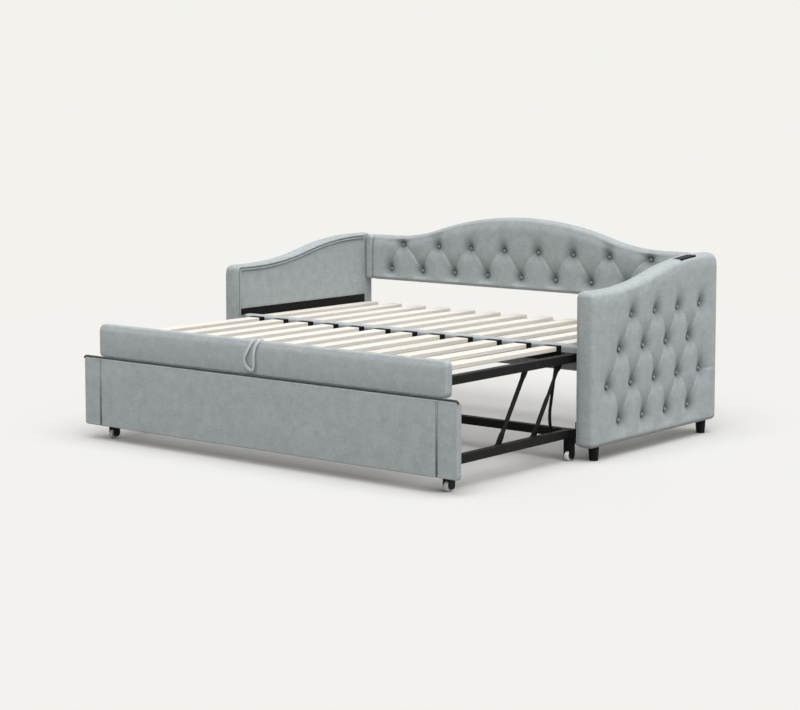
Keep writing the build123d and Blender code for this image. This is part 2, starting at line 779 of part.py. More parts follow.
# Pins of the link feet: through the side rail, with a shoulder up to the link and a riveted head
with BuildPart() as base_pivot_pins:
    head_x = base_rail_outer - base_pin_length - pin_head / 2
    shoulder_out = base_rail_outer - tube
    shoulder_in = link_plane + lug_thickness / 2 + shoulder_clearance
    for pin_y in link_feet:
        for middle_x, pin_part_radius, pin_part_length in (
            (base_rail_outer - base_pin_length / 2, pin_radius, base_pin_length),
            (head_x, pin_head_radius, pin_head),
            ((shoulder_out + shoulder_in) / 2, pin_shoulder_radius, shoulder_out - shoulder_in),
        ):
            with Locations(Location((middle_x, pin_y, link_foot_height), (0, 90, 0))):
                Cylinder(pin_part_radius, pin_part_length)
    mirror(about=Plane.YZ)

# Catch behind the foot of each lock stay, on the front of the rear rail
with BuildPart() as stay_catches:
    catch_front = stay_foot[0] + stay_width / 2 + catch_gap
    catch_back = base_rear - tube
    catch_height = tube - catch_drop
    with Locations((stay_plane, (catch_front + catch_back) / 2, base_rail_bottom + catch_height / 2)):
        Box(catch_width, catch_back - catch_front, catch_height)
    mirror(about=Plane.YZ)


def link_plane_at(foot_y):
    """Plane of a right-hand link with its first axis along the link from the foot pivot."""
    lean = math.radians(link_angle)
    return Plane(
        origin=(link_plane, foot_y, link_foot_height),
        x_dir=(0, math.cos(lean), math.sin(lean)),
        z_dir=(1, 0, 0),
    )


def link_solid(foot_y, upper_radius):
    """Round tube with a flat lug on each end, its upper half of upper_radius."""
    with BuildPart() as link:
        with Locations(link_plane_at(foot_y)):
            for lug_middle in (lug_length / 2, link_length - lug_length / 2):
                with Locations((lug_middle, 0, 0)):
                    Box(lug_length, 2 * lug_radius, lug_thickness)
            with Locations((0, 0, 0), (link_length, 0, 0)):
                Cylinder(lug_radius, lug_thickness)
            tube_start = lug_length - lug_radius
            tube_half = link_length / 2 - tube_start
            with Locations(Location((tube_start + tube_half / 2, 0, 0), (0, 90, 0))):
                Cylinder(link_tube_radius, tube_half)
            with Locations(Location((link_length / 2 + tube_half / 2, 0, 0), (0, 90, 0))):
                Cylinder(upper_radius, tube_half)
            with Locations((0, 0, 0), (link_length, 0, 0)):
                Cylinder(pin_radius + running_clearance, 2 * lug_thickness, mode=Mode.SUBTRACT)
    return link.part


with BuildPart() as right_front_link:
    add(link_solid(link_feet[0], link_tube_radius))

with BuildPart() as left_front_link:
    mirror(right_front_link.part, about=Plane.YZ)

with BuildPart() as right_rear_link:
    add(link_solid(link_feet[1], rear_link_upper_radius))
    with Locations(link_plane_at(link_feet[1])):
        with Locations(Location((link_bracket_place, 0, 0), (0, 0, link_bracket_turn))):
            with Locations((link_bracket_length / 2, 0, 0)):
                Box(link_bracket_length, link_bracket_width, lug_thickness)

with BuildPart() as left_rear_link:
    mirror(right_rear_link.part, about=Plane.YZ)

# Lock stays: bent flat bars that hang from the rear pivots of the deck
with BuildPart() as right_lock_stay:
    bend = (rear_link_top - stay_bend_lean, link_top_height - stay_bend_drop)
    with BuildSketch(Plane.YZ.offset(stay_plane - stay_thickness / 2)):
        with BuildLine():
            Polyline(stay_top, bend, stay_foot)
            offset(amount=stay_width / 2)
        make_face()
    extrude(amount=stay_thickness)
    with Locations(Location((stay_plane, *stay_top), (0, 90, 0))):
        Cylinder(lug_radius, stay_thickness)
        Cylinder(pin_radius + running_clearance, 2 * stay_thickness, mode=Mode.SUBTRACT)

with BuildPart() as left_lock_stay:
    mirror(right_lock_stay.part, about=Plane.YZ)

# Deck frame
with BuildPart() as right_deck_rail:
    deck_rail_length = deck_rear - upper_panel_back
    with BuildSketch(Plane(origin=(deck_rail_x, upper_panel_back, deck_rail_z), z_dir=(0, 1, 0))):
        add(tube_section())
    extrude(amount=deck_rail_length)
    link_tops = [y + link_lean for y in link_feet]
    with Locations(*[Location((deck_rail_x, y, link_top_height), (0, 90, 0)) for y in link_tops]):
        Cylinder(pin_radius, 2 * tube, mode=Mode.SUBTRACT)

with BuildPart() as left_deck_rail:
    mirror(right_deck_rail.part, about=Plane.YZ)

deck_cross_length = 2 * (deck_rail_outer - tube)
with BuildPart() as deck_front_rail:
    deck_front_plane = Plane(
        origin=(-deck_cross_length / 2, upper_panel_back + tube / 2, deck_rail_z), z_dir=(1, 0, 0)
    )
    with BuildSketch(deck_front_plane):
        add(tube_section())
    extrude(amount=deck_cross_length)

with BuildPart() as deck_rear_rail:
    deck_rear_plane = Plane(
        origin=(-deck_cross_length / 2, deck_rear - tube / 2, deck_rail_z), z_dir=(1, 0, 0)
    )
    with BuildSketch(deck_rear_plane):
        add(tube_section())
    extrude(amount=deck_cross_length)

with BuildPart() as deck_pivot_pins:
    deck_shoulder_out = deck_rail_outer - tube
    deck_shoulder_in = link_plane + lug_thickness / 2 + shoulder_clearance
    for pin_y, pin_length in zip(link_tops, (deck_pin_length, stay_pin_length)):
        for middle_x, pin_part_radius, pin_part_length in (
            (deck_rail_outer - pin_length / 2, pin_radius, pin_length),
            (deck_rail_outer - pin_length - pin_head / 2, pin_head_radius, pin_head),
            (
                (deck_shoulder_out + deck_shoulder_in) / 2,
                pin_shoulder_radius,
                deck_shoulder_out - deck_shoulder_in,
            ),
        ):
            with Locations(Location((middle_x, pin_y, link_top_height), (0, 90, 0))):
                Cylinder(pin_part_radius, pin_part_length)
    mirror(about=Plane.YZ)

# Deck slats, held at both ends in caps on the cross rails
with BuildPart() as deck_slats:
    deck_slat_length = deck_slat_rear - upper_panel_back - 2 * cap_back
    deck_middle = (deck_slat_rear + upper_panel_back) / 2
    with Locations((0, deck_middle, deck_slat_bottom + slat_thickness / 2)):
        with GridLocations(deck_slat_pitch, 0, deck_slat_count, 1):
            Box(slat_width, deck_slat_length, slat_thickness)

with BuildPart() as slat_caps:
    cap_height = cap_top - deck_rail_top
    for cap_y in (upper_panel_back + cap_depth / 2, deck_slat_rear - cap_depth / 2):
        with Locations((0, cap_y, deck_rail_top + cap_height / 2)):
            with GridLocations(deck_slat_pitch, 0, deck_slat_count, 1):
                Box(cap_width, cap_depth, cap_height)
    with Locations((0, deck_middle, deck_slat_bottom + (slat_thickness + cap_clearance) / 2)):
        with GridLocations(deck_slat_pitch, 0, deck_slat_count, 1):
            Box(
                slat_width + 2 * cap_clearance,
                deck_slat_length,
                slat_thickness + cap_clearance,
                mode=Mode.SUBTRACT,
            )

# Pull strap: a hanging loop of tape with its ends folded over the panel's top
with BuildPart() as pull_strap:
    strap_back = upper_panel_front - strap_gap
    with BuildSketch(Plane.XZ.offset(-strap_back)):
        with BuildLine():
            ThreePointArc(
                (strap_left, upper_panel_top),
                (strap_bulge, strap_bulge_height),
                (strap_tip, strap_tip_height),
            )
            Line((strap_tip, strap_tip_height), (strap_right, upper_panel_top))
            offset(amount=strap_width / 2)
        make_face()
        with Locations(((strap_left + strap_right) / 2, upper_panel_top + strap_width)):
            Rectangle(4 * strap_width, 2 * strap_width - 2 * strap_thickness, mode=Mode.SUBTRACT)
    extrude(amount=strap_thickness)
    tab_y = strap_back - strap_thickness + upper_panel_thickness / 2
    with Locations(*[(x, tab_y, upper_panel_top + strap_thickness / 2) for x in (strap_left, strap_right)]):
        Box(strap_width, upper_panel_thickness, strap_thickness)

sub_parts = {
    "left_arm_frame": left_arm_frame,
    "right_arm_frame": right_arm_frame,
    "left_arm_cover": left_arm_cover,
    "right_arm_cover": right_arm_cover,
    "left_arm_inner_panel": left_arm_inner_panel,
    "right_arm_inner_panel": right_arm_inner_panel,
    "arm_piping": arm_piping,
    "arm_buttons": arm_buttons,
    "back_frame": back_frame,
    "back_cover": back_cover,
    "back_rear_panel": back_rear_panel,
    "back_posts": back_posts,
    "back_buttons": back_buttons,
    "front_rail_board": front_rail_board,
    "front_rail_cover": front_rail_cover,
    "rear_rail": rear_rail,
    "slat_ledges": slat_ledges,
    "daybed_slats": daybed_slats,
    "left_side_angle": left_side_angle,
    "right_side_angle": right_side_angle,
    "rail_brackets": rail_brackets,
    "feet": feet,
    "foot_studs": foot_studs,
    "charging_socket": charging_socket,
    "socket_covers": socket_covers,
    "lower_panel_board": lower_panel_board,
    "lower_panel_cover": lower_panel_cover,
    "lower_panel_piping": lower_panel_piping,
    "left_base_rail": left_base_rail,
    "right_base_rail": right_base_rail,
    "base_front_rail": base_front_rail,
    "base_rear_rail": base_rear_rail,
    "panel_brackets": panel_brackets,
    "guide_plates": guide_plates,
    "front_caster_legs": front_caster_legs,
    "rear_caster_legs": rear_caster_legs,
    "caster_axles": caster_axles,
    "front_left_wheel": front_left_wheel,
    "front_right_wheel": front_right_wheel,
    "rear_left_wheel": rear_left_wheel,
    "rear_right_wheel": rear_right_wheel,
    "base_pivot_pins": base_pivot_pins,
    "stay_catches": stay_catches,
    "left_front_link": left_front_link,
    "right_front_link": right_front_link,
    "left_rear_link": left_rear_link,
    "right_rear_link": right_rear_link,
    "left_lock_stay": left_lock_stay,
    "right_lock_stay": right_lock_stay,
    "left_deck_rail": left_deck_rail,
    "right_deck_rail": right_deck_rail,
    "deck_front_rail": deck_front_rail,
    "deck_rear_rail": deck_rear_rail,
    "deck_pivot_pins": deck_pivot_pins,
    "deck_slats": deck_slats,
    "slat_caps": slat_caps,
    "upper_panel_board": upper_panel_board,
    "upper_panel_cover": upper_panel_cover,
    "pull_strap": pull_strap,
}

os.makedirs("parts", exist_ok=True)
for node_name, builder in sub_parts.items():
    builder.part.label = node_name
    export_step(builder.part, f"parts/{node_name}.step")
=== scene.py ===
import json
import math

import bmesh
import bpy
from mathutils import Matrix, Vector, noise


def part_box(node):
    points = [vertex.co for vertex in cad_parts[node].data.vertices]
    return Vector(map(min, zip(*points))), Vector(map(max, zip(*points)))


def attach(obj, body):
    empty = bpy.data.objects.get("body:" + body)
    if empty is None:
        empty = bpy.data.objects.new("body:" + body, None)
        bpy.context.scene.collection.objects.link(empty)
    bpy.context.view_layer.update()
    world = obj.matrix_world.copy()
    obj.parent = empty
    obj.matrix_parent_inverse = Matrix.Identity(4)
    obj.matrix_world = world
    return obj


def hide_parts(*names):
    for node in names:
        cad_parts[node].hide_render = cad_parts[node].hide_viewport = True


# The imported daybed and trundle. Metres, +X along the length, +Y to the back, +Z up.
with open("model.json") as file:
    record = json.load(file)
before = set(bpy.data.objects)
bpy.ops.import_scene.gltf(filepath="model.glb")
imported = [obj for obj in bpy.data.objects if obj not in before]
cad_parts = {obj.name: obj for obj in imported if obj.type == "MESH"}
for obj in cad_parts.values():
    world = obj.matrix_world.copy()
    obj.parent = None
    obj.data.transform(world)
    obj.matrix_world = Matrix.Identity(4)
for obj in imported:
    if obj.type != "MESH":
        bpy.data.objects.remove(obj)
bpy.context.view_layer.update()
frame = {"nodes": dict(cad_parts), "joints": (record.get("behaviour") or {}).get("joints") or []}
nodes = frame["nodes"]

# Camera, at the photograph's place
image_width = 800
focal_pixels = 1968.755
camera_place = (5.4366, -6.7155, 1.5091)
camera_turn = (math.radians(84.723), 0.0, math.radians(39.058))
camera_shift = -0.1
sensor_width = 36.0

# Arms: the top's curve and the diamond tufts, measured from the arm's front edge
arm_front_height = 0.702
arm_rear_height = 0.804
arm_curve_start = 0.110
arm_curve_end = 0.890
arm_front_corner = 0.024
arm_rear_corner = 0.036
arm_foot_corner = 0.020
arm_roll = 0.024
arm_tuft_pitch = 0.184
arm_tuft_rows = ((0.313, 0.586, 4), (0.221, 0.446, 4), (0.129, 0.298, 5), (0.221, 0.149, 4))
arm_tuft_depth = 0.026
arm_crease_depth = 0.017
arm_pit_width = 0.029
arm_top_ease = 0.008
arm_fade_reach = 0.035
arm_tail_gap = 0.01

# Back: the camel top and its two rows of buttons
back_end_height = 0.798
crest_height = 0.917
crest_inflection = 0.500
crest_run_out = 0.776
back_roll = 0.020
back_corner = 0.014
back_tuft_pitch = 0.199
back_upper_row = (0.756, 8)
back_lower_row = (0.632, 9)
back_end_shift = 0.024
back_tuft_depth = 0.025
back_crease_depth = 0.017
back_pit_width = 0.025
back_top_ease = 0.012
back_fade_reach = 0.022
back_tail_gap = 0.008

# Foam and covered buttons
foam_depth = 0.0275
button_radius = 0.0088
button_height = 0.011
button_seat = 0.001

# Slats and the parts of the lift
slat_width = 0.064
daybed_slat_count, daybed_slat_pitch = 13, 0.153
deck_slat_count, deck_slat_pitch = 12, 0.152
lug_radius = 0.014
lug_half_thickness = 0.005
lug_reach = 0.060
link_radius = 0.009
rear_link_upper_radius = 0.007
link_bracket_place = 0.223
link_bracket_length = 0.022
link_bracket_section = (0.007, lug_half_thickness, 6.0)
lug_ease = 0.020
link_step_ease = 0.03
stay_bend_lean, stay_bend_drop = 0.054, 0.245
stay_foot_lean, stay_drop = 0.038, 0.300
stay_half_width = 0.008
stay_bow, stay_bow_steps = 0.044, 12
stay_lug_reach, stay_lug_ease = 0.022, 0.02
stay_roundness = 2.6
stay_tip_start, stay_tip_end = 0.004, 0.97
stay_tip_ease, stay_tip_share = 0.003, 0.7


# Node wiring: one output socket of a material, with arithmetic
class Wire:
    """A socket in a node tree. Arithmetic on it adds Math nodes."""

    def __init__(self, tree, socket):
        self.tree = tree
        self.socket = socket

    def node(self, kind, settings=None, inputs=None, output=0):
        """Adds a node, sets it up, feeds its sockets and gives back one of its outputs."""
        made = self.tree.nodes.new(kind)
        for name, value in (settings or {}).items():
            setattr(made, name, value)
        for key, value in (inputs or {}).items():
            if isinstance(value, Wire):
                self.tree.links.new(value.socket, made.inputs[key])
            else:
                made.inputs[key].default_value = value
        return Wire(self.tree, made.outputs[output])

    def math(self, operation, *values):
        """A Math node on these values."""
        return self.node("ShaderNodeMath", {"operation": operation}, dict(enumerate(values)))

    def __add__(self, other):
        return self.math("ADD", self, other)

    def __radd__(self, other):
        return self.math("ADD", other, self)

    def __sub__(self, other):
        return self.math("SUBTRACT", self, other)

    def __rsub__(self, other):
        return self.math("SUBTRACT", other, self)

    def __mul__(self, other):
        return self.math("MULTIPLY", self, other)

    def __rmul__(self, other):
        return self.math("MULTIPLY", other, self)

    def __truediv__(self, other):
        return self.math("DIVIDE", self, other)

    def __rtruediv__(self, other):
        return self.math("DIVIDE", other, self)

    def attribute(self, name):
        """A number that the piece's mesh carries."""
        return self.node("ShaderNodeAttribute", {"attribute_name": name}, {}, "Fac")

    def clamped(self, low, high):
        """This value carried from low..high to 0..1."""
        ends = {"Value": self, "From Min": low, "From Max": high}
        return self.node("ShaderNodeMapRange", {"clamp": True}, ends)

    def grain(self, sizes, detail=2.0, roughness=0.5):
        """Noise over this place, with features of about these sizes along X, Y and Z."""
        scale = tuple(1.0 / size for size in sizes)
        scaled = self.node("ShaderNodeMapping", {}, {"Vector": self, "Scale": scale})
        inputs = {"Vector": scaled, "Scale": 1.0, "Detail": detail, "Roughness": roughness}
        return self.node("ShaderNodeTexNoise", {}, inputs)

    def blend(self, first, second):
        """A colour between two, by this value. A colour mix has sockets 6 and 7, and output 2."""
        settings = {"data_type": "RGBA"}
        return self.node("ShaderNodeMix", settings, {0: self, 6: first, 7: second}, 2)

    def bumped(self, strength, distance):
        """A normal raised by this height."""
        inputs = {"Height": self, "Strength": strength, "Distance": distance}
        return self.node("ShaderNodeBump", {}, inputs)


def shade(red, green, blue):
    """Linear colour of an sRGB shade given in 0..255."""
    parts = []
    for part in (red, green, blue):
        share = part / 255
        parts.append(share / 12.92 if share < 0.04045 else ((share + 0.055) / 1.055) ** 2.4)
    return (*parts, 1.0)


def new_finish(name):
    """A new material and its Object coordinates."""
    material = bpy.data.materials.new(name)
    material.use_nodes = True
    tree = material.node_tree
    coordinates = tree.nodes.new("ShaderNodeTexCoord")
    return material, Wire(tree, coordinates.outputs["Object"])


def feed(material, **sockets):
    """Links or sets the shader's sockets; an underscore in a name stands for a space."""
    shader = material.node_tree.nodes["Principled BSDF"]
    for name, value in sockets.items():
        socket = shader.inputs[name.replace("_", " ")]
        if isinstance(value, Wire):
            value.tree.links.new(value.socket, socket)
        else:
            socket.default_value = value
    return material


# Finishes: the sizes of what shows in them, along X, Y and Z where there are three, and from what sinking and
# how strongly painted shade darkens the hollows
thread_length, thread_width = 0.012, 0.0011
slub_length, slub_width = 0.034, 0.0028
mottle_size = 0.04
painted_shade_start, painted_shade_strength = 0.18, 0.95
streak_sizes = (0.0035, 0.28, 0.0035)
band_sizes = (0.016, 0.9, 0.016)
pore_sizes = (0.0008, 0.02, 0.0008)
board_grain_sizes = (0.30, 0.006, 0.006)
board_fleck_sizes = (0.02, 0.003, 0.003)
gloss_patch_size = 0.06
turning_sizes = (0.0006, 0.004, 0.004)


def linen(name, dark, light, painted_hollow_shade=None):
    """Linen-look cloth: fine threads both ways, with short slubs and a little mottling.

    With a shade for its hollows, it is darkened with painted shade where the piece's hollow attribute says it
    is sunk."""
    material, place = new_finish(name)
    weft = place.grain((thread_length, thread_length, thread_width))
    warp = place.grain((thread_width, thread_width, thread_length))
    long_weft = place.grain((slub_length, slub_length, slub_width), 3.0, 0.6)
    long_warp = place.grain((slub_width, slub_width, slub_length), 3.0, 0.6)
    mottle = place.grain((mottle_size, mottle_size, mottle_size), 3.0)
    threads = weft * 0.5 + warp * 0.5
    slubs = long_weft * 0.5 + long_warp * 0.5
    tone = threads * 0.4 + slubs * 0.42 + mottle * 0.18
    colour = tone.clamped(0.4, 0.6).blend(dark, light)
    # Painted shade: the cloth is darkened towards the hollows' shade colour as far as the hollow attribute
    # says it is sunk.
    if painted_hollow_shade:
        hollow = place.attribute("hollow").clamped(painted_shade_start, 1.0)
        colour = (hollow * painted_shade_strength).blend(colour, painted_hollow_shade)
    height = threads * 0.75 + slubs * 0.25
    return feed(
        material,
        Base_Color=colour,
        Roughness=0.92,
        Specular_IOR_Level=0.25,
        Sheen_Weight=0.12,
        Sheen_Roughness=0.5,
        Normal=height.bumped(0.35, 0.0012),
    )


def slat_wood(name, pale, deep, painted_side_light, pitch, offset):
    """Planed softwood: long pale grain along the slats, each slat a little different,
    with the sides and ends painted paler as painted light, where the piece's edge attribute says."""
    material, place = new_finish(name)
    across = place.node("ShaderNodeSeparateXYZ", {}, {"Vector": place})
    board = across.math("FLOOR", across / pitch + offset)
    tint = place.node("ShaderNodeTexWhiteNoise", {"noise_dimensions": "1D"}, {"W": board})
    streaks = place.grain(streak_sizes, 4.0, 0.6)
    bands = place.grain(band_sizes)
    pores = place.grain(pore_sizes, 1.0)
    tone = streaks * 0.42 + bands * 0.28 + tint * 0.22 + pores * 0.08
    planed = tone.clamped(0.3, 0.74).blend(pale, deep)
    # Painted light: the sides and ends are painted towards a paler colour, where the edge attribute says.
    colour = (place.attribute("edge") * (1.1 - tone)).clamped(0.0, 1.0).blend(planed, painted_side_light)
    return feed(
        material,
        Base_Color=colour,
        Roughness=0.5 + streaks * 0.2,
        Specular_IOR_Level=0.35,
        Normal=(streaks * 0.7 + pores * 0.3).bumped(0.15, 0.0008),
    )


def board_wood(name, pale, deep):
    """Raw panel board: short flecks of grain along the length."""
    material, place = new_finish(name)
    grain = place.grain(board_grain_sizes, 4.0, 0.65)
    flecks = place.grain(board_fleck_sizes)
    tone = grain * 0.65 + flecks * 0.35
    return feed(
        material,
        Base_Color=tone.clamped(0.3, 0.7).blend(pale, deep),
        Roughness=0.75,
        Normal=tone.bumped(0.2, 0.0008),
    )


def coated(name, dark, light, rough, gloss, pebble, strength):
    """Powder coat or moulded plastic: a fine pebbled skin with a little uneven gloss."""
    material, place = new_finish(name)
    skin = place.grain((pebble, pebble, pebble))
    patches = place.grain((gloss_patch_size, gloss_patch_size, gloss_patch_size), 3.0)
    return feed(
        material,
        Base_Color=(skin * 0.5 + patches * 0.5).clamped(0.3, 0.7).blend(dark, light),
        Roughness=rough - 0.08 + patches * 0.16,
        Specular_IOR_Level=gloss,
        Normal=skin.bumped(strength, 0.0006),
    )


def turned_steel(name):
    """Turned steel pins, blackened: fine rings and a dull face."""
    material, place = new_finish(name)
    rings = place.grain(turning_sizes)
    return feed(
        material,
        Base_Color=rings.clamped(0.3, 0.7).blend(shade(38, 38, 39), shade(58, 58, 59)),
        Metallic=1.0,
        Roughness=0.3 + rings * 0.25,
        Normal=rings.bumped(0.1, 0.0004),
    )


linen_shades = (shade(152, 159, 161), shade(180, 186, 188))
# Tufted linen: its third colour is painted shade, which darkens the cloth in the tufts' hollows.
tufted_painted_shade_finish = linen("tufted_linen_painted_shade", *linen_shades, shade(92, 97, 98))
# The third slat colour is painted light, for the paler sides and ends.
slat_shades = (shade(223, 219, 211), shade(209, 201, 187), shade(252, 249, 241))
black_shades = (shade(10, 10, 11), shade(16, 16, 17))
nylon_shades = (shade(226, 227, 229), shade(238, 239, 241))
# The buttons' cloth is darker than the cover's: painted shade for the pits they sit in.
painted_shade_button_finish = linen("button_cloth", shade(122, 127, 129), shade(148, 153, 155))
# The seam cords' grey is partly the stitching's own darker colour and partly painted shade of the seam's dip.
seam_stitch_and_shade_finish = linen("seam_cord", shade(110, 115, 117), shade(130, 135, 137))
tape_finish = linen("light_tape", shade(176, 182, 184), shade(194, 200, 202))
daybed_slat_finish = slat_wood("pale_daybed_slat", *slat_shades, daybed_slat_pitch, 0.5)
finishes = {
    "grey_linen": linen("grey_linen_cloth", *linen_shades),
    "grey_trim": linen("grey_trim_cloth", *linen_shades),
    "dark_piping": linen("dark_cord", shade(52, 54, 56), shade(72, 74, 76)),
    "frame_wood": board_wood("frame_board", shade(202, 176, 138), shade(164, 132, 94)),
    "pale_slat_wood": slat_wood("pale_slat", *slat_shades, deck_slat_pitch, 0.0),
    "black_steel": coated(
        "black_powder_coat", *black_shades, rough=0.5, gloss=0.14, pebble=0.0016, strength=0.25
    ),
    "black_plastic": coated(
        "black_moulding", *black_shades, rough=0.55, gloss=0.14, pebble=0.0009, strength=0.3
    ),
    "pale_wheel_plastic": coated(
        "pale_nylon", *nylon_shades, rough=0.26, gloss=0.45, pebble=0.002, strength=0.08
    ),
    "pin_steel": turned_steel("turned_steel"),
}
for node in nodes.values():
    for number, carried in enumerate(node.data.materials):
        finish_name = carried.name.split(".")[0]
        node.data.materials[number] = finishes[finish_name]


# Making pieces
flat_limit = 0.9999
merge_distance = 0.00001
least_corner = 0.0005
roll_steps, back_steps = 7, 3
noise_layer = 0.37


def show(name, data):
    """A new object in the scene, at the origin."""
    made = bpy.data.objects.new(name, data)
    bpy.context.scene.collection.objects.link(made)
    return made


def make_piece(name, mesh, slot, body, stands_for, finish=None):
    """Turns a bmesh into a piece that rides on a body and stands for a CAD node.

    Its faces are shaded smooth, apart from those square to an axis."""
    bmesh.ops.recalc_face_normals(mesh, faces=mesh.faces)
    for face in mesh.faces:
        face.smooth = max(map(abs, face.normal)) < flat_limit
    data = bpy.data.meshes.new(name)
    mesh.to_mesh(data)
    mesh.free()
    data.materials.append(finish or finishes[slot])
    piece = show(name, data)
    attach(piece, body)
    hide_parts(stands_for)
    return piece


def make_pad(name, mesh, stands_for, body="daybed", finish=None):
    """Turns a bmesh into a padded piece in grey linen."""
    piece = make_piece(name, mesh, "grey_linen", body, stands_for, finish)


def linked(vert, others):
    """The vertex among others that shares an edge with this one."""
    return next(edge.other_vert(vert) for edge in vert.link_edges if edge.other_vert(vert) in others)


def edges_of(verts):
    """The edges of these vertices, each once and in a fixed order."""
    return list(dict.fromkeys(edge for vert in verts for edge in vert.link_edges))


def pulled_rim(mesh, edges):
    """Extrudes a rim of edges: the new vertices and the new rim."""
    pulled = bmesh.ops.extrude_edge_only(mesh, edges=edges)["geom"]
    fresh = [part for part in pulled if isinstance(part, bmesh.types.BMVert)]
    rim = [part for part in pulled if isinstance(part, bmesh.types.BMEdge) and part.is_boundary]
    return fresh, rim


def corner_cut(distance, radius):
    """How far a round corner falls short of its square one, at a distance from the end."""
    if distance >= radius:
        return 0.0
    return radius - math.sqrt(max(0.0, radius**2 - (radius - distance) ** 2))


def spread(share, length, corner, corner_share):
    """Place along a slab, with even steps round the corners at both ends."""
    if share < corner_share:
        return corner * (1 - math.cos(share / corner_share * math.pi / 2))
    if share > 1 - corner_share:
        return length - spread(1 - share, length, corner, corner_share)
    inner = (share - corner_share) / (1 - 2 * corner_share)
    return corner + inner * (length - 2 * corner)


def slab_outline(start, end, low, high, corners, corner_share):
    """Outline from start to end between two edge curves, as a function of shares and inset.

    corners holds the radii at the start's top, the end's top, the start's foot and the end's foot."""

    def spot(along, up, inset):
        length = end - start - 2 * inset
        radii = [max(corner - inset, least_corner) for corner in corners]
        across = spread(along, length, max(radii), corner_share)
        place = start + inset + across
        left = length - across
        top_cut = corner_cut(across, radii[0]) + corner_cut(left, radii[1])
        low_cut = corner_cut(across, radii[2]) + corner_cut(left, radii[3])
        bottom = low(place) + inset + low_cut
        top = high(place) - inset - top_cut
        return place, bottom + (top - bottom) * up

    return spot


def rolled_edge(roll, thickness, back_radius, wall_steps, puff):
    """Rings from the face's rim over the rolled edge and down the side to the back, as (inset, drop)."""
    rings = []
    for step in range(roll_steps + 1):
        turn = step / roll_steps * math.pi / 2
        rings.append((roll * (1 - math.sin(turn)), roll * (1 - math.cos(turn))))
    wall = thickness - roll - back_radius
    for step in range(1, wall_steps):
        share = step / wall_steps
        rings.append((-puff * math.sin(share * math.pi), roll + wall * share))
    for step in range(back_steps + 1):
        turn = step / back_steps * math.pi / 2
        inset = back_radius * (1 - math.cos(turn))
        rings.append((inset, thickness - back_radius * (1 - math.sin(turn))))
    return rings


def padded_slab(columns, rows, outline, rings, place, relief, cuts=()):
    """A stuffed slab: a face shaped by relief, its edges rolled over along rings, a plain back."""
    mesh = bmesh.new()
    bmesh.ops.create_grid(mesh, x_segments=columns, y_segments=rows, size=0.5)
    for cut in cuts:
        whole = mesh.verts[:] + mesh.edges[:] + mesh.faces[:]
        bmesh.ops.bisect_plane(mesh, geom=whole, plane_co=(cut - 0.5, 0, 0), plane_no=(1, 0, 0))
    # The hollow attribute holds how far the face is sunk; the tufted linen darkens by it with painted shade.
    hollow = mesh.verts.layers.float.new("hollow")
    shares = {vert: (vert.co.x + 0.5, vert.co.y + 0.5) for vert in mesh.verts}
    face_inset, face_drop = rings[0]
    for vert, (along, up) in shares.items():
        spot = outline(along, up, face_inset)
        height = relief(*spot)
        vert[hollow] = min(max(-height / foam_depth, 0.0), 1.0)
        vert.co = place(*spot, height - face_drop)
    rim = [edge for edge in mesh.edges if edge.is_boundary]
    for inset, drop in rings[1:]:
        fresh, rim = pulled_rim(mesh, rim)
        new_shares = {vert: shares[linked(vert, shares)] for vert in fresh}
        for vert, (along, up) in new_shares.items():
            vert.co = place(*outline(along, up, inset), -drop)
        shares.update(new_shares)
    bmesh.ops.edgeloop_fill(mesh, edges=rim)
    return mesh


def soft_noise(p, q, size, height):
    """Slight unevenness of stuffed cloth, never above zero."""
    return height * (noise.noise(Vector((p / size, q / size, noise_layer))) - 1) / 2


# Diamond tufting
def tuft_points(rows, pitch):
    """Button places of each row, from (first, height, count)."""
    return [[(first + pitch * number, height) for number in range(count)] for first, height, count in rows]


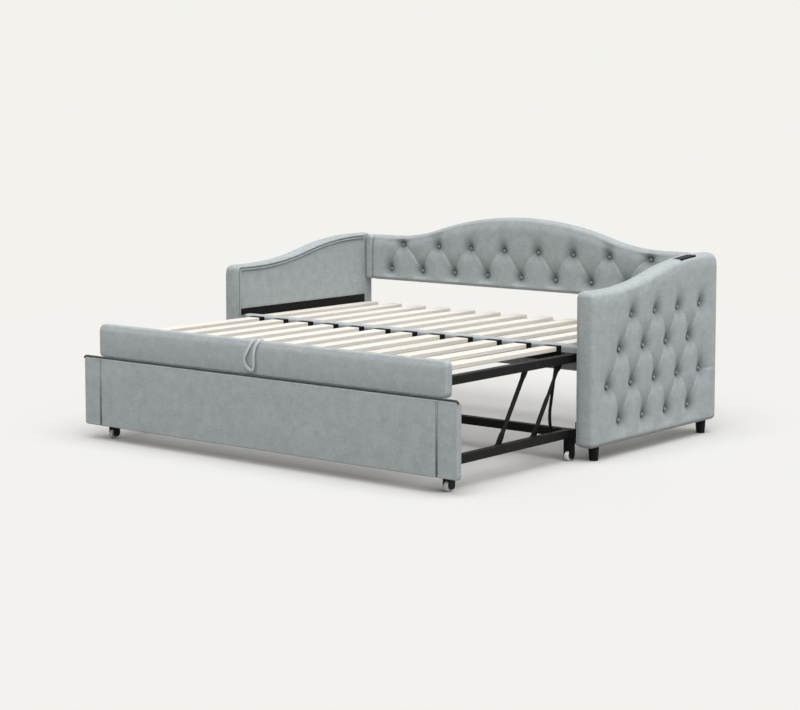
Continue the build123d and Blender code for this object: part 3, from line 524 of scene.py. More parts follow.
def tufting(rows, pitch, depth, tails, pit_width, crease_depth, edge_fade):
    """Relief of diamond tufts: a pit at each button and a bell-shaped pleat to each button below.

    tails are short straight pleats from a button to a point; edge_fade eases the relief out."""
    bow = 1.9
    reach_above, reach_below = 1.5, 0.95
    pit_floor = 0.9 * button_radius
    above_width = 0.95 * pit_width
    below_width = 0.32 * pit_width
    mid_pleat, mid_power = 0.4, 1.5
    tail_depth = 0.8 * crease_depth
    deepest = foam_depth - 0.001
    pleats = []
    for upper_row, lower_row in zip(rows, rows[1:]):
        for upper in upper_row:
            for lower in lower_row:
                if abs(upper[0] - lower[0]) < pitch * 0.7:
                    pleats.append((upper, lower))
    buttons = [button for row in rows for button in row]

    def fold(away, sink):
        """Depth of a pleat: a long slope down to it from above and a short full lip below."""
        if away > 0:
            return sink * math.exp(-away / above_width)
        return sink * math.exp(-((away / below_width) ** 2))

    def crease(p, q, upper, lower):
        """Depth of the pleat between two buttons, none where it is too far off to show."""
        run = lower[0] - upper[0]
        share = (p - upper[0]) / run
        beyond = max(share - 1, -share, 0.0) * abs(run)
        if beyond > 2 * pit_width:
            return 0.0
        share = min(max(share, 0.0), 1.0)
        drop = upper[1] - lower[1]
        if not lower[1] - 0.5 * drop < q < upper[1] + 0.6 * drop:
            return 0.0
        height = upper[1] - drop * share**bow
        slope = bow * drop / abs(run) * share ** (bow - 1)
        away = (q - height) / math.hypot(1, slope)
        past_end = math.exp(-((beyond / pit_width) ** 2))
        fullness = mid_pleat + (1 - mid_pleat) * abs(2 * share - 1) ** mid_power
        return fold(away, crease_depth * fullness) * past_end

    def pit(p, q, button):
        """Depth of a button's pit, longer above the button than below."""
        run, rise = p - button[0], q - button[1]
        if abs(run) > 4 * pit_width or abs(rise) > 7 * pit_width:
            return 0.0
        stretch = reach_below if rise < 0 else reach_above
        away = max(math.hypot(run, rise / stretch) - pit_floor, 0.0)
        return depth * math.exp(-away / pit_width)

    def tail(p, q, start, end):
        """Depth of a straight pleat, which runs out towards its end."""
        run, rise = end[0] - start[0], end[1] - start[1]
        length = math.hypot(run, rise)
        share = ((p - start[0]) * run + (q - start[1]) * rise) / length**2
        if not 0 <= share <= 1:
            return 0.0
        away = ((q - start[1]) * run - (p - start[0]) * rise) / length
        if rise:
            away = -abs(away)
        return fold(away, tail_depth * (1 - share))

    def relief(p, q):
        total = sum(crease(p, q, *pleat) ** 3 for pleat in pleats)
        total += sum(pit(p, q, button) ** 3 for button in buttons)
        total += sum(tail(p, q, *line) ** 3 for line in tails)
        sunk = min(total ** (1 / 3), deepest)
        return -sunk * edge_fade(p, q) + soft_noise(p, q, size=0.05, height=0.0012)

    return relief


def smooth_step(value):
    """Eases 0..1."""
    value = min(max(value, 0.0), 1.0)
    return value * value * (3 - 2 * value)


def top_easing(below_top, ease, reach=0.075):
    """How far a face leans back towards its top edge."""
    return ease * (1 - smooth_step(below_top / reach)) ** 2


# Arms
arm_low, arm_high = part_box("right_arm_cover")
arm_depth = arm_high.y - arm_low.y
arm_bottom = arm_low.z
arm_corners = (arm_front_corner, arm_rear_corner, arm_foot_corner, arm_foot_corner)


def arm_top(depth):
    """Height of the arm's top at a depth behind its front: two arcs that meet half way up."""
    run = (arm_curve_end - arm_curve_start) / 2
    rise = (arm_rear_height - arm_front_height) / 2
    radius = (run**2 + rise**2) / (2 * rise)
    if depth <= arm_curve_start:
        return arm_front_height
    if depth >= arm_curve_end:
        return arm_rear_height
    if depth < arm_curve_start + run:
        return arm_front_height + radius - math.sqrt(radius**2 - (depth - arm_curve_start) ** 2)
    return arm_rear_height - radius + math.sqrt(radius**2 - (arm_curve_end - depth) ** 2)


def arm_edge_fade(p, q):
    """Eases tufts out towards the arm's edges."""
    reach = min(p, arm_depth - p, q - arm_bottom, arm_top(p) - q)
    return smooth_step((reach - arm_roll * 0.5) / arm_fade_reach)


arm_rows = tuft_points(arm_tuft_rows, arm_tuft_pitch)
last_button = arm_rows[2][-1]
arm_tails = [(last_button, (arm_depth - arm_tail_gap, last_button[1]))]
arm_relief = tufting(
    arm_rows, arm_tuft_pitch, arm_tuft_depth, arm_tails, arm_pit_width, arm_crease_depth, arm_edge_fade
)

socket_low, socket_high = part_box("charging_socket")
socket_middle = (socket_low + socket_high) / 2
socket_seat = 0.006
seat_ease = 0.004
seat_room = 0.001


def socket_dip(x, y):
    """How far the cloth is let down round the charging socket."""
    gap_x = (socket_high.x - socket_low.x) / 2 + seat_room - abs(x - socket_middle.x)
    gap_y = (socket_high.y - socket_low.y) / 2 - abs(y - socket_middle.y)
    return socket_seat * smooth_step(min(gap_x, gap_y) / seat_ease + 1)


def make_arm(side_name, side):
    """One arm's tufted cover, from its crowned outer face round to the inner edge."""
    columns, rows = 264, 190
    thickness = arm_high.x - arm_low.x
    outline = slab_outline(
        0.0, arm_depth, lambda p: arm_bottom, arm_top, arm_corners, corner_share=10 / columns
    )
    rings = rolled_edge(arm_roll, thickness, back_radius=0.004, wall_steps=13, puff=0.0015)

    def place(p, q, out):
        x = arm_high.x + out - top_easing(arm_top(p) - q, arm_top_ease) * (1 + out / thickness)
        y = arm_low.y + p
        if side > 0 and q > arm_front_height:
            q -= socket_dip(x, y)
        return side * x, y, q

    mesh = padded_slab(columns, rows, outline, rings, place, arm_relief)
    make_pad(side_name + "_arm_upholstery", mesh, side_name + "_arm_cover", finish=tufted_painted_shade_finish)


def make_arm_lining(side_name, side):
    """Plain cloth face on an arm's inner side."""
    low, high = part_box("right_arm_inner_panel")
    inset = low.y - arm_low.y
    columns, rows = 120, 84
    outline = slab_outline(
        inset,
        arm_depth - inset,
        lambda p: arm_bottom + inset,
        lambda p: arm_top(p) - inset,
        [corner - inset for corner in arm_corners],
        corner_share=8 / columns,
    )
    rings = rolled_edge(roll=0.0045, thickness=high.x - low.x, back_radius=0.0008, wall_steps=2, puff=0.0)

    def place(p, q, out):
        return side * (low.x - out), arm_low.y + p, q

    def relief(p, q):
        return soft_noise(p, q, size=0.09, height=0.0006)

    mesh = padded_slab(columns, rows, outline, rings, place, relief)
    make_pad(side_name + "_arm_lining", mesh, side_name + "_arm_inner_panel")


for make_side in (make_arm, make_arm_lining):
    make_side("right", 1)
    make_side("left", -1)

# Back
back_low, back_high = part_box("back_cover")


def back_top(x):
    """Height of the back's camel top: a crest arc with a hollow arc on each side."""
    x = abs(x)
    if x >= crest_run_out:
        return back_end_height
    turn = back_end_height + (crest_height - back_end_height) * (1 - crest_inflection / crest_run_out)
    if x > crest_inflection:
        run, rise = crest_run_out - crest_inflection, turn - back_end_height
        radius = (run**2 + rise**2) / (2 * rise)
        return back_end_height + radius - math.sqrt(radius**2 - (crest_run_out - x) ** 2)
    rise = crest_height - turn
    radius = (crest_inflection**2 + rise**2) / (2 * rise)
    return crest_height - radius + math.sqrt(radius**2 - x**2)


def back_edge_fade(p, q):
    """Eases tufts out towards the back's edges."""
    reach = min(back_high.x - abs(p), q - back_low.z, back_top(p) - q)
    return smooth_step((reach - back_roll * 0.5) / back_fade_reach)


def centred_row(height, count):
    """First button, height and count of a row about the middle."""
    return -back_tuft_pitch * (count - 1) / 2, height, count


back_rows = tuft_points([centred_row(*back_upper_row), centred_row(*back_lower_row)], back_tuft_pitch)
for end_button, outwards in ((0, -1), (-1, 1)):
    across, height = back_rows[0][end_button]
    back_rows[0][end_button] = (across + outwards * back_end_shift, height)
back_tails = [(button, (button[0], back_low.z + back_tail_gap)) for button in back_rows[-1]]
back_relief = tufting(
    back_rows, back_tuft_pitch, back_tuft_depth, back_tails, back_pit_width, back_crease_depth, back_edge_fade
)


def facing_front(front):
    """Placing for a slab whose face looks forwards, at this depth."""

    def place(p, q, out):
        return p, front - out, q

    return place


def make_back():
    """The tufted back cover."""
    columns, rows = 420, 84
    outline = slab_outline(
        back_low.x, back_high.x, lambda p: back_low.z, back_top, [back_corner] * 4, corner_share=5 / columns
    )
    thickness = back_high.y - back_low.y
    rings = rolled_edge(back_roll, thickness, back_radius=0.003, wall_steps=5, puff=0.001)

    def place(p, q, out):
        ease = top_easing(back_top(p) - q, back_top_ease) * (1 + out / thickness)
        depth = ease - out if -out > foam_depth else min(ease - out, foam_depth)
        return p, back_low.y + depth, q

    mesh = padded_slab(columns, rows, outline, rings, place, back_relief)
    make_pad("back_upholstery", mesh, "back_cover", finish=tufted_painted_shade_finish)


make_back()


def make_rear_lining():
    """Plain cloth on the rear of the back."""
    low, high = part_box("back_rear_panel")
    inset = low.z - back_low.z
    edge = 0.004
    columns, rows = 150, 30
    outline = slab_outline(
        low.x, high.x, lambda p: low.z, lambda p: back_top(p) - inset, [edge] * 4, corner_share=4 / columns
    )
    rings = rolled_edge(edge, thickness=high.y - low.y, back_radius=0.0008, wall_steps=2, puff=0.0)

    def place(p, q, out):
        return p, high.y + out, q

    def relief(p, q):
        return soft_noise(p, q, size=0.1, height=0.0008)

    mesh = padded_slab(columns, rows, outline, rings, place, relief)
    make_pad("back_rear_lining", mesh, "back_rear_panel")


make_rear_lining()

# Straight padded pieces
straight_corner_steps = 6
crown_start, crown_reach = 0.004, 0.06
band_seam = 0.003
band_build = {"roll": 0.014, "corner": 0.018, "columns": 26, "rows": 60, "corner_share": 0.22}
rail_crown = 0.002
rail_build = {"roll": 0.012, "corner": 0.003, "columns": 190, "rows": 18}


def straight_slab(low, high, front, thickness, roll, corner, columns, rows, **details):
    """A padded slab with a straight outline. It is plain and faces forwards, unless details say more."""
    corner_share = details.get("corner_share", straight_corner_steps / columns)
    outline = slab_outline(low[0], high[0], lambda p: low[1], lambda p: high[1], [corner] * 4, corner_share)
    rings = rolled_edge(roll, thickness, back_radius=0.002, wall_steps=5, puff=0.001)
    relief = details.get("relief", lambda p, q: 0.0)
    place = details.get("place", facing_front(front))
    return padded_slab(columns, rows, outline, rings, place, relief, details.get("cuts", ()))


def crowned(low, high, crown):
    """Relief of a plain stuffed face: it swells a little from its rolled edges to its middle."""

    def relief(p, q):
        reach = min(p - low[0], high[0] - p, q - low[1], high[1] - q)
        swell = smooth_step((reach - crown_start) / crown_reach)
        return swell * (crown + soft_noise(p, q, size=0.12, height=0.0012))

    return relief


def make_posts():
    """The padded bands that end the back, beside each arm."""
    low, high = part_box("back_posts")
    width = high.x - back_high.x
    for name, start in (("left_back_band", low.x), ("right_back_band", back_high.x)):
        face_low, face_high = (start + band_seam, low.z), (start + width - band_seam, high.z)
        mesh = straight_slab(face_low, face_high, low.y, high.y - low.y, **band_build)
        make_pad(name, mesh, "back_posts")


make_posts()


def make_rail(name, node, place):
    """A padded rail between the arms, its crowned face placed by place."""
    low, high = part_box(node)
    face_low, face_high = (low.x, low.z), (high.x, high.z)
    thickness = high.y - low.y - rail_crown
    details = {"relief": crowned(face_low, face_high, rail_crown), "place": place(low, high)}
    make_pad(name, straight_slab(face_low, face_high, low.y, thickness, **rail_build, **details), node)


def facing_back(low, high):
    """Placing for a slab whose face looks backwards."""
    return lambda p, q, out: (p, high.y - rail_crown + out, q)


make_rail("front_rail_upholstery", "front_rail_cover", lambda low, high: facing_front(low.y + rail_crown))
make_rail("rear_rail_upholstery", "rear_rail", facing_back)

# Trundle panels
lower_panel_corner = 0.012
seam_place = 0.928
seam_depth, seam_half_width, seam_wall = 0.0036, 0.0068, 0.0034
seam_pull, seam_pull_reach = 0.0016, 0.012
seam_end_fade = 0.012
seam_cuts = (0.0034, 0.0051, 0.0070, 0.011, 0.018)
lower_panel_crown = 0.002
lower_panel_build = {"roll": 0.005, "corner": lower_panel_corner, "columns": 200, "rows": 34}
upper_panel_easing = (0.007, 0.040)
upper_panel_crown = 0.003
upper_panel_build = {"roll": 0.008, "corner": 0.022, "columns": 200, "rows": 30}


def make_lower_panel():
    """The wide front panel, with a sewn seam near each end."""
    low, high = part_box("lower_panel_cover")
    face_low, face_high = (low.x, low.z), (high.x, high.z)
    corner, crown = lower_panel_corner, lower_panel_crown
    corner_share = straight_corner_steps / lower_panel_build["columns"]
    plain = crowned(face_low, face_high, crown)
    cuts = []
    for seam in (-seam_place, seam_place):
        for step in [-cut for cut in reversed(seam_cuts)] + list(seam_cuts):
            inner = (seam + step - (low.x + corner)) / (high.x - low.x - 2 * corner)
            cuts.append(corner_share + inner * (1 - 2 * corner_share))

    def relief(p, q):
        away = abs(abs(p) - seam_place)
        groove = seam_depth * smooth_step((seam_half_width - away) / seam_wall)
        pull = seam_pull * math.exp(-away / seam_pull_reach)
        edge = smooth_step(min(q - low.z, high.z - q) / seam_end_fade)
        return plain(p, q) - (groove + pull) * edge

    front, thickness = low.y + crown, high.y - low.y - crown
    details = {"relief": relief, "cuts": cuts}
    mesh = straight_slab(face_low, face_high, front, thickness, **lower_panel_build, **details)
    make_pad("lower_panel_upholstery", mesh, "lower_panel_cover", body="trundle_base")


make_lower_panel()


def make_upper_panel():
    """The padded panel on the front of the deck."""
    low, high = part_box("upper_panel_cover")
    face_low, face_high = (low.x, low.z), (high.x, high.z)
    crown = upper_panel_crown
    front, thickness = low.y + crown, high.y - low.y - crown

    def place(p, q, out):
        return p, front - out + top_easing(high.z - q, *upper_panel_easing) * (1 + out / thickness), q

    details = {"relief": crowned(face_low, face_high, crown), "place": place}
    mesh = straight_slab(face_low, face_high, front, thickness, **upper_panel_build, **details)
    make_pad("upper_panel_upholstery", mesh, "upper_panel_cover", body="deck")


make_upper_panel()


# Turned shapes and the covered buttons
button_rim = ((0.55, 0.0), (0.66, 0.28), (1.0, 0.36))
button_dome = ((0.97, 0.52), (0.78, 0.78), (0.45, 0.96), (0.0, 1.0))


def turned(mesh, profile, place, outwards, steps, closed=False):
    """Spins a profile of (radius, height) round an axis through a place, facing outwards."""
    points = [mesh.verts.new((radius, 0.0, height)) for radius, height in profile]
    pairs = list(zip(points, points[1:]))
    if closed:
        pairs.append((points[-1], points[0]))
    edges = [mesh.edges.new(pair) for pair in pairs]
    before = set(mesh.verts) - set(points)
    bmesh.ops.spin(
        mesh,
        geom=points + edges,
        cent=(0, 0, 0),
        axis=(0, 0, 1),
        angle=2 * math.pi,
        steps=steps,
        use_merge=True,
    )
    shell = [vert for vert in mesh.verts if vert not in before]
    turn = Vector((0, 0, 1)).rotation_difference(Vector(outwards)).to_matrix().to_4x4()
    bmesh.ops.transform(mesh, matrix=Matrix.Translation(place) @ turn, verts=shell)


def add_button(mesh, place, outwards):
    """A domed, cloth-covered button with a turned-in rim, at a place, facing outwards."""
    profile = [(button_radius * out, button_height * up) for out, up in button_rim + button_dome]
    turned(mesh, profile, place, outwards, steps=20)


def make_buttons():
    """All the buttons of the arms and of the back."""
    arm_mesh, back_mesh = bmesh.new(), bmesh.new()
    for side in (-1, 1):
        for p, q in (spot for row in arm_rows for spot in row):
            sunk = arm_relief(p, q) - button_seat
            add_button(arm_mesh, (side * (arm_high.x + sunk), arm_low.y + p, q), (side, 0, 0))
    for p, q in (spot for row in back_rows for spot in row):
        sunk = back_relief(p, q) - button_seat
        add_button(back_mesh, (p, back_low.y - sunk, q), (0, -1, 0))
    for place, mesh in (("arm", arm_mesh), ("back", back_mesh)):
        bmesh.ops.remove_doubles(mesh, verts=mesh.verts, dist=merge_distance)
        make_piece(place + "_cloth_buttons", mesh, "grey_trim", "daybed", place + "_buttons", painted_shade_button_finish)


make_buttons()


# Slats
def rounded_box(mesh, low, high, radius, segments):
    """Adds a box with eased edges and gives back the faces that ease them."""
    size = Vector(high) - Vector(low)
    middle = (Vector(high) + Vector(low)) / 2
    where = Matrix.Translation(middle) @ Matrix.Diagonal((*size, 1.0))
    verts = bmesh.ops.create_cube(mesh, size=1.0, matrix=where)["verts"]
    bevelled = bmesh.ops.bevel(
        mesh, geom=edges_of(verts), offset=radius, segments=segments, profile=0.5, affect="EDGES", material=-1
    )
    return bevelled["faces"]


def make_slats(name, node, count, pitch, body, finish=None):
    """A row of slats with eased edges, in the place of a CAD row.

    Their edge attribute goes from about 0 on top to 1 on the sides and ends."""
    low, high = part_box(node)
    mesh = bmesh.new()
    for number in range(count):
        middle = (number - (count - 1) / 2) * pitch
        start = (middle - slat_width / 2, low.y, low.z)
        end = (middle + slat_width / 2, high.y, high.z)
        rounded_box(mesh, start, end, radius=0.003, segments=3)
    # The edge attribute marks the sides and ends that the slat finish paints paler, as painted light.
    edge = mesh.verts.layers.float.new("edge")
    mesh.normal_update()
    for vert in mesh.verts:
        vert[edge] = 1 - vert.normal.z**2
    make_piece(name, mesh, "pale_slat_wood", body, node, finish)


make_slats(
    "daybed_eased_slats", "daybed_slats", daybed_slat_count, daybed_slat_pitch, "daybed", daybed_slat_finish
)
make_slats("deck_eased_slats", "deck_slats", deck_slat_count, deck_slat_pitch, "deck")


def end_reach(face, inwards):
    """Ranks a cap's faces by how near its inner end they are, and those that are as near by height."""
    spot = face.calc_center_median()
    return round(spot.y * inwards, 5), spot.z


def make_caps():
    """Moulded caps on the deck slats' ends. A slat goes in through the end face of its cap.

    The pocket for it lies folded flat behind that face: its mouth is the narrow eased strip at the top."""
    cap_low, cap_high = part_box("slat_caps")
    slat_low, slat_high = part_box("deck_slats")
    cap_width = cap_high.x - cap_low.x - deck_slat_pitch * (deck_slat_count - 1)
    cap_depth = 0.034
    pocket_room = 0.0005
    pocket_half = slat_width / 2 + pocket_room
    pocket_low, pocket_high = slat_low.z, slat_high.z + pocket_room
    mesh = bmesh.new()
    for number in range(deck_slat_count):
        middle = (number - (deck_slat_count - 1) / 2) * deck_slat_pitch
        for front, inwards in ((cap_low.y, 1), (cap_high.y - cap_depth, -1)):
            start = (middle - cap_width / 2, front, cap_low.z)
            end = (middle + cap_width / 2, front + cap_depth, cap_high.z)
            faces = rounded_box(mesh, start, end, radius=0.0018, segments=2)
            mouth = max(faces, key=lambda face: end_reach(face, inwards))
            bmesh.ops.inset_individual(mesh, faces=[mouth], thickness=0.001, depth=0.0)
            for vert in mouth.verts:
                vert.co.x = middle + math.copysign(pocket_half, vert.co.x - middle)
                vert.co.z = pocket_low if vert.co.z < (pocket_low + pocket_high) / 2 else pocket_high
            floor_face = bmesh.ops.extrude_discrete_faces(mesh, faces=[mouth])["faces"][0]
            pocket_end = slat_low.y if inwards > 0 else slat_high.y
            for vert in floor_face.verts:
                vert.co.y = pocket_end
    make_piece("moulded_slat_caps", mesh, "black_plastic", "deck", "slat_caps")


make_caps()


# Lift: links, lock stays and wheels
ring_points = 20
oval, square = 2.0, 7.0
round_end_gap = 0.0003


def rounded_ring(middle, side, lift, power):
    """Points round a middle, its half sizes given as vectors; a higher power makes it squarer."""
    points = []
    for number in range(ring_points):
        turn = 2 * math.pi * number / ring_points
        across = math.copysign(abs(math.cos(turn)) ** (2 / power), math.cos(turn))
        up = math.copysign(abs(math.sin(turn)) ** (2 / power), math.sin(turn))
        points.append(middle + side * across + lift * up)
    return points


def sweep(mesh, rings):
    """Skins a closed bar through rings of points and closes both its ends."""
    verts = bmesh.ops.create_circle(mesh, segments=len(rings[0]), radius=1.0)["verts"]
    edges = edges_of(verts)
    for vert, point in zip(verts, rings[0]):
        vert.co = point
    bmesh.ops.edgeloop_fill(mesh, edges=edges)
    for ring in rings[1:]:
        fresh, edges = pulled_rim(mesh, edges)
        verts = [linked(vert, fresh) for vert in verts]
        for vert, point in zip(verts, ring):
            vert.co = point
    bmesh.ops.edgeloop_fill(mesh, edges=edges)


def direction(path, number):
    """Which way a path runs at one of its points."""
    return (path[min(number + 1, len(path) - 1)] - path[max(number - 1, 0)]).normalized()


def bar(mesh, path, half_sizes):
    """A bar along a path that lies across X; half_sizes gives width, thickness and roundness
    from the lengths gone and left."""
    total = sum((end - start).length for start, end in zip(path, path[1:]))
    gone = 0.0
    rings = []
    for number, point in enumerate(path):
        gone += (point - path[max(number - 1, 0)]).length
        width, thickness, power = half_sizes(gone, total - gone)
        across = direction(path, number).cross(Vector((1, 0, 0)))
        rings.append(rounded_ring(point, across * width, Vector((thickness, 0, 0)), power))
    sweep(mesh, rings)


def between(start, end, share):
    """The value a share of the way from start to end."""
    return start + (end - start) * share


def round_end(left):
    """Half width of a lug's round end, at a length left before it ends."""
    left = max(left, round_end_gap)
    return math.sqrt(lug_radius**2 - (lug_radius - left) ** 2) if left < lug_radius else lug_radius


def spaced_line(start, end, count):
    """Points along a line from start to end, closer together at its ends."""
    shares = [(1 - math.cos(math.pi * number / count)) / 2 for number in range(count + 1)]
    return [start.lerp(end, share) for share in shares]


pivots = {joint["name"]: Vector(joint["pos_m"]) for joint in frame["joints"] if "pos_m" in joint}
deck_front_pivot = pivots["deck_level"]
deck_rear_pivot = pivots["lock_stay_swing"]


def middle_plane(node):
    """The plane across the bed in which a flat node lies, as a step along X."""
    low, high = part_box(node)
    return Vector(((low.x + high.x) / 2, 0, 0))


def make_link(name, foot, top, upper_radius, body, stands_for):
    """A round tube pressed flat at both ends, where its pivots go through."""
    plane = middle_plane(stands_for)
    along = (top - foot).normalized()
    start, end = plane + foot - along * lug_radius, plane + top + along * lug_radius

    def half_sizes(gone, left):
        from_end = min(gone, left)
        full = smooth_step((from_end - lug_reach) / lug_ease)
        radius = between(link_radius, upper_radius, smooth_step((gone - left) / link_step_ease + 0.5))
        width = between(round_end(from_end), radius, full)
        thickness = between(lug_half_thickness, radius, full)
        return width, thickness, between(square, oval, full)

    mesh = bmesh.new()
    bar(mesh, spaced_line(start, end, count=64), half_sizes)
    if upper_radius < link_radius:
        root = plane + foot + along * link_bracket_place
        across = along.cross(Vector((1, 0, 0)))
        tip = root + (along + across).normalized() * link_bracket_length
        bar(mesh, spaced_line(root, tip, count=6), lambda gone, left: link_bracket_section)
    make_piece(name, mesh, "black_steel", body, stands_for)


for side_name in ("left", "right"):
    for row, top, upper_radius in (
        ("front", deck_front_pivot, link_radius),
        ("rear", deck_rear_pivot, rear_link_upper_radius),
    ):
        make_link(
            f"{side_name}_{row}_pressed_link",
            pivots[row + "_link_swing"],
            top,
            upper_radius,
            row + "_links",
            f"{side_name}_{row}_link",
        )


def make_stay(name, stands_for):
    """A bar that hangs from the deck's rear pivot, bent back in a round bow near its foot."""
    plane = middle_plane(stands_for)
    top = plane + deck_rear_pivot
    bend = top + Vector((0, -stay_bend_lean, -stay_bend_drop))
    foot = top + Vector((0, -stay_foot_lean, -stay_drop))
    upper = (top - bend).normalized()
    lower = (foot - bend).normalized()
    bow_start, bow_end = bend + upper * stay_bow, bend + lower * stay_bow
    path = spaced_line(top + upper * lug_radius, bow_start, count=30)
    for number in range(1, stay_bow_steps + 1):
        share = number / stay_bow_steps
        path.append(bow_start.lerp(bend, share).lerp(bend.lerp(bow_end, share), share))
    path.append(foot + lower * stay_tip_start)
    path.append(foot + lower * stay_half_width * stay_tip_end)

    def half_sizes(gone, left):
        lug = 1 - smooth_step((gone - stay_lug_reach) / stay_lug_ease)
        width = between(stay_half_width, round_end(gone), lug)
        if left < stay_tip_ease:
            width *= stay_tip_share
        return width, lug_half_thickness, between(stay_roundness, square, lug)

    mesh = bmesh.new()
    bar(mesh, path, half_sizes)
    make_piece(name, mesh, "black_steel", "lock_stays", stands_for)


make_stay("left_bent_stay", "left_lock_stay")
make_stay("right_bent_stay", "right_lock_stay")


wheel_bore = 0.0043
wheel_hub = ((0.36, 1.0), (0.42, 0.78), (0.66, 0.72), (0.72, 1.0))
wheel_tread = ((0.88, 1.0), (0.97, 0.84), (1.0, 0.56), (1.0, 0.14), (0.965, 0.07))


def make_wheel(name, node, body):
    """A moulded wheel: a tread with a middle groove, a dished web and a hub with its bore."""
    low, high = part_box(node)
    radius = (high.z - low.z) / 2
    half = (high.x - low.x) / 2
    half_profile = [(wheel_bore, half)]
    half_profile += [(radius * out, half * side) for out, side in wheel_hub + wheel_tread]
    profile = half_profile + [(spot, -away) for spot, away in reversed(half_profile)]
    mesh = bmesh.new()
    turned(mesh, profile, (low + high) / 2, (1, 0, 0), steps=48, closed=True)
    bmesh.ops.remove_doubles(mesh, verts=mesh.verts, dist=merge_distance)
    make_piece(name, mesh, "pale_wheel_plastic", body, node)


for corner_name in ("front_left", "front_right", "rear_left", "rear_right"):
    make_wheel(corner_name + "_grooved_wheel", corner_name + "_wheel", corner_name + "_caster")


# Cords of the lower panel
welt_radius, welt_stand_off, welt_set_back = 0.0042, 0.004, 0.006
welt_turn_start, welt_turn_step, welt_turns = 20, 10, 8
seam_cord_radius, seam_cord_set_back, seam_cord_margin = 0.0052, 0.0058, 0.004


def make_panel_cords():
    """The dark welt along the lower panel's top edge and a cord in each of its seams."""
    low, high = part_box("lower_panel_cover")
    backwards, sideways = Vector((0, 1, 0)), Vector((1, 0, 0))
    rings = []
    for side in (-1, 1):
        middle = Vector(
            (side * (high.x - lower_panel_corner), low.y + welt_set_back, high.z - lower_panel_corner)
        )
        turns = [math.radians(welt_turn_start + welt_turn_step * step) for step in range(welt_turns)]
        for turn in turns[::-side]:
            outwards = Vector((side * math.cos(turn), 0, math.sin(turn)))
            spot = middle + outwards * (lower_panel_corner + welt_stand_off)
            rings.append(rounded_ring(spot, backwards * welt_radius, outwards * welt_radius, oval))
    mesh = bmesh.new()
    sweep(mesh, rings)
    make_piece("lower_panel_welt", mesh, "dark_piping", "trundle_base", "lower_panel_piping")
    # The seam cords are wide and grey: partly stitching, partly painted shade of the seam's dip.
    mesh = bmesh.new()
    for seam in (-seam_place, seam_place):
        ends = (low.z + seam_cord_margin, high.z - seam_cord_margin)
        spots = [Vector((seam, low.y + seam_cord_set_back, z)) for z in ends]
        reach = (sideways * seam_cord_radius, backwards * seam_cord_radius)
        sweep(mesh, [rounded_ring(spot, *reach, oval) for spot in spots])
    make_piece(
        "lower_panel_seam_cords", mesh, "dark_piping", "trundle_base", "lower_panel_piping", seam_stitch_and_shade_finish
    )


make_panel_cords()

# Pull strap
strap_half_width = 0.0065
strap_half_thickness = 0.0018
strap_squareness = 5.0
strap_stand_off = 0.008
strap_face_path = (
    (-0.047, 0.492),
    (-0.059, 0.468),
    (-0.070, 0.445),
    (-0.075, 0.425),
    (-0.068, 0.405),
    (-0.050, 0.391),
    (-0.031, 0.387),
    (-0.023, 0.402),
    (-0.022, 0.427),
    (-0.023, 0.455),
    (-0.021, 0.478),
    (-0.016, 0.493),
)
strap_ends = (-0.043, -0.012)
strap_over_top = ((0.0065, -0.004), (0.013, 0.0022), (0.022, 0.0032), (0.033, 0.0030))
strap_close, strap_hang_start, strap_hang_ease = 0.003, 0.015, 0.050
strap_turn_start, strap_turn_reach = 0.020, 0.024


def smooth_path(points, steps):
    """A curve through points, with even steps between each two."""
    path = []
    for number in range(len(points) - 1):
        before = points[max(number - 1, 0)]
        start, end = points[number], points[number + 1]
        after = points[min(number + 2, len(points) - 1)]
        for step in range(steps):
            share = step / steps
            lead, trail = (end - before) / 2, (after - start) / 2
            path.append(
                start * (2 * share**3 - 3 * share**2 + 1)
                + lead * (share**3 - 2 * share**2 + share)
                + end * (3 * share**2 - 2 * share**3)
                + trail * (share**3 - share**2)
            )
    path.append(points[-1])
    return path


def make_strap():
    """A loop of tape that hangs down the upper panel, its ends laid over the panel's top."""
    low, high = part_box("upper_panel_cover")
    front, top = low.y, high.z

    def over_top(x):
        """The tape's end from the panel's face over its rolled edge."""
        return [Vector((x, front + depth, top + lift)) for depth, lift in strap_over_top]

    face = []
    for x, z in strap_face_path:
        hang = smooth_step((top - strap_hang_start - z) / strap_hang_ease)
        stand_off = strap_close + strap_stand_off * hang
        face.append(Vector((x, front - stand_off + top_easing(top - z, *upper_panel_easing), z)))
    points = list(reversed(over_top(strap_ends[0]))) + face + over_top(strap_ends[1])
    path = smooth_path(points, steps=6)
    rings = []
    for number, point in enumerate(path):
        along = direction(path, number)
        lean = smooth_step((point.z - top + strap_turn_start) / strap_turn_reach) * math.pi / 2
        outwards = Vector((0, -math.cos(lean), math.sin(lean)))
        across = along.cross(outwards).normalized()
        lift = across.cross(along).normalized()
        reach = (across * strap_half_width, lift * strap_half_thickness)
        rings.append(rounded_ring(point, *reach, strap_squareness))
    mesh = bmesh.new()
    sweep(mesh, rings)
    make_piece("hanging_pull_strap", mesh, "grey_trim", "deck", "pull_strap", tape_finish)


make_strap()

# Floor, light and camera
background = shade(243, 242, 238)
floor_shade = shade(206, 205, 202)
bounce_shade = shade(148, 147, 145)
sky_strength = 0.28
lamp_strength = 3.95
lamp_spread = math.radians(75)
lamp_place = (1.5, -1.0, 4.4)
floor_half_size = 40.0
floor_fade_start, floor_fade_end = 3.0, 6.5
view_reach = 200.0


def seen_directly(tree):
    """1 for rays from the camera, or off gloss or through glass, that show the backdrop."""
    path = tree.nodes.new("ShaderNodeLightPath")
    seen = Wire(tree, path.outputs["Is Camera Ray"])
    for other in ("Is Glossy Ray", "Is Transmission Ray"):
        seen = seen.math("MAXIMUM", seen, Wire(tree, path.outputs[other]))
    return seen


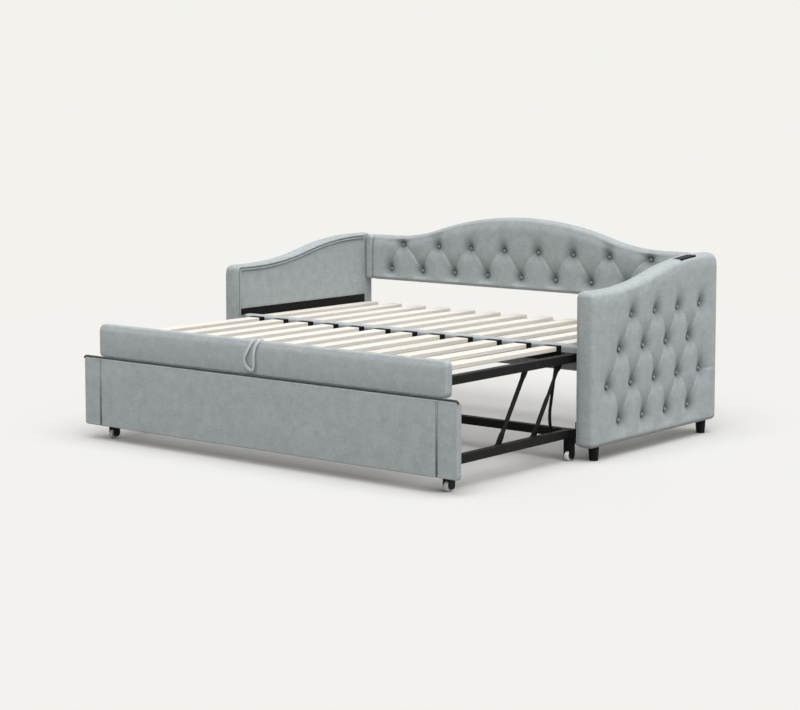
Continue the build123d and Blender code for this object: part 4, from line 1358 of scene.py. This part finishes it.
def make_floor():
    """A wide pale floor that fades into the backdrop colour."""
    mesh = bmesh.new()
    bmesh.ops.create_grid(mesh, x_segments=1, y_segments=1, size=floor_half_size)
    data = bpy.data.meshes.new("floor")
    mesh.to_mesh(data)
    mesh.free()
    material, place = new_finish("pale_floor")
    tree = material.node_tree
    colour = seen_directly(tree).blend(bounce_shade, floor_shade)
    feed(material, Base_Color=colour, Roughness=0.9, Specular_IOR_Level=0.1)
    away = place.node("ShaderNodeVectorMath", {"operation": "LENGTH"}, {0: place}, "Value")
    far = away.clamped(floor_fade_start, floor_fade_end)
    flat = place.node("ShaderNodeEmission", {}, {"Color": background, "Strength": 1.0})
    lit = Wire(tree, tree.nodes["Principled BSDF"].outputs[0])
    mixed = place.node("ShaderNodeMixShader", {}, {0: far, 1: lit, 2: flat})
    tree.links.new(mixed.socket, tree.nodes["Material Output"].inputs["Surface"])
    data.materials.append(material)
    show("floor", data)


def make_world():
    """Even soft light, with the plain backdrop colour where the camera or a gloss sees it."""
    world = bpy.data.worlds.new("studio")
    bpy.context.scene.world = world
    world.use_nodes = True
    tree = world.node_tree
    tree.nodes.clear()
    seen = seen_directly(tree)
    backdrop = seen.node("ShaderNodeBackground", {}, {"Color": background, "Strength": 1.0})
    light = seen.node("ShaderNodeBackground", {}, {"Color": (1, 1, 1, 1), "Strength": sky_strength})
    mixed = seen.node("ShaderNodeMixShader", {}, {0: seen, 1: light, 2: backdrop})
    out = tree.nodes.new("ShaderNodeOutputWorld")
    tree.links.new(mixed.socket, out.inputs["Surface"])


def make_light():
    """One broad soft lamp far above, to the right and in front."""
    data = bpy.data.lights.new("studio_light", "SUN")
    data.energy = lamp_strength
    data.angle = lamp_spread
    lamp = show("studio_light", data)
    lamp.location = lamp_place
    lamp.rotation_euler = (-Vector(lamp_place)).to_track_quat("-Z", "Y").to_euler()


def make_camera():
    """The photograph's camera."""
    data = bpy.data.cameras.new("camera")
    data.sensor_fit = "HORIZONTAL"
    data.sensor_width = sensor_width
    data.lens = focal_pixels * sensor_width / image_width
    data.shift_y = camera_shift
    data.clip_end = view_reach
    camera = show("camera", data)
    camera.location = camera_place
    camera.rotation_euler = camera_turn
    bpy.context.scene.camera = camera


make_floor()
make_world()
make_light()
make_camera()
bpy.context.scene.view_settings.view_transform = "Standard"
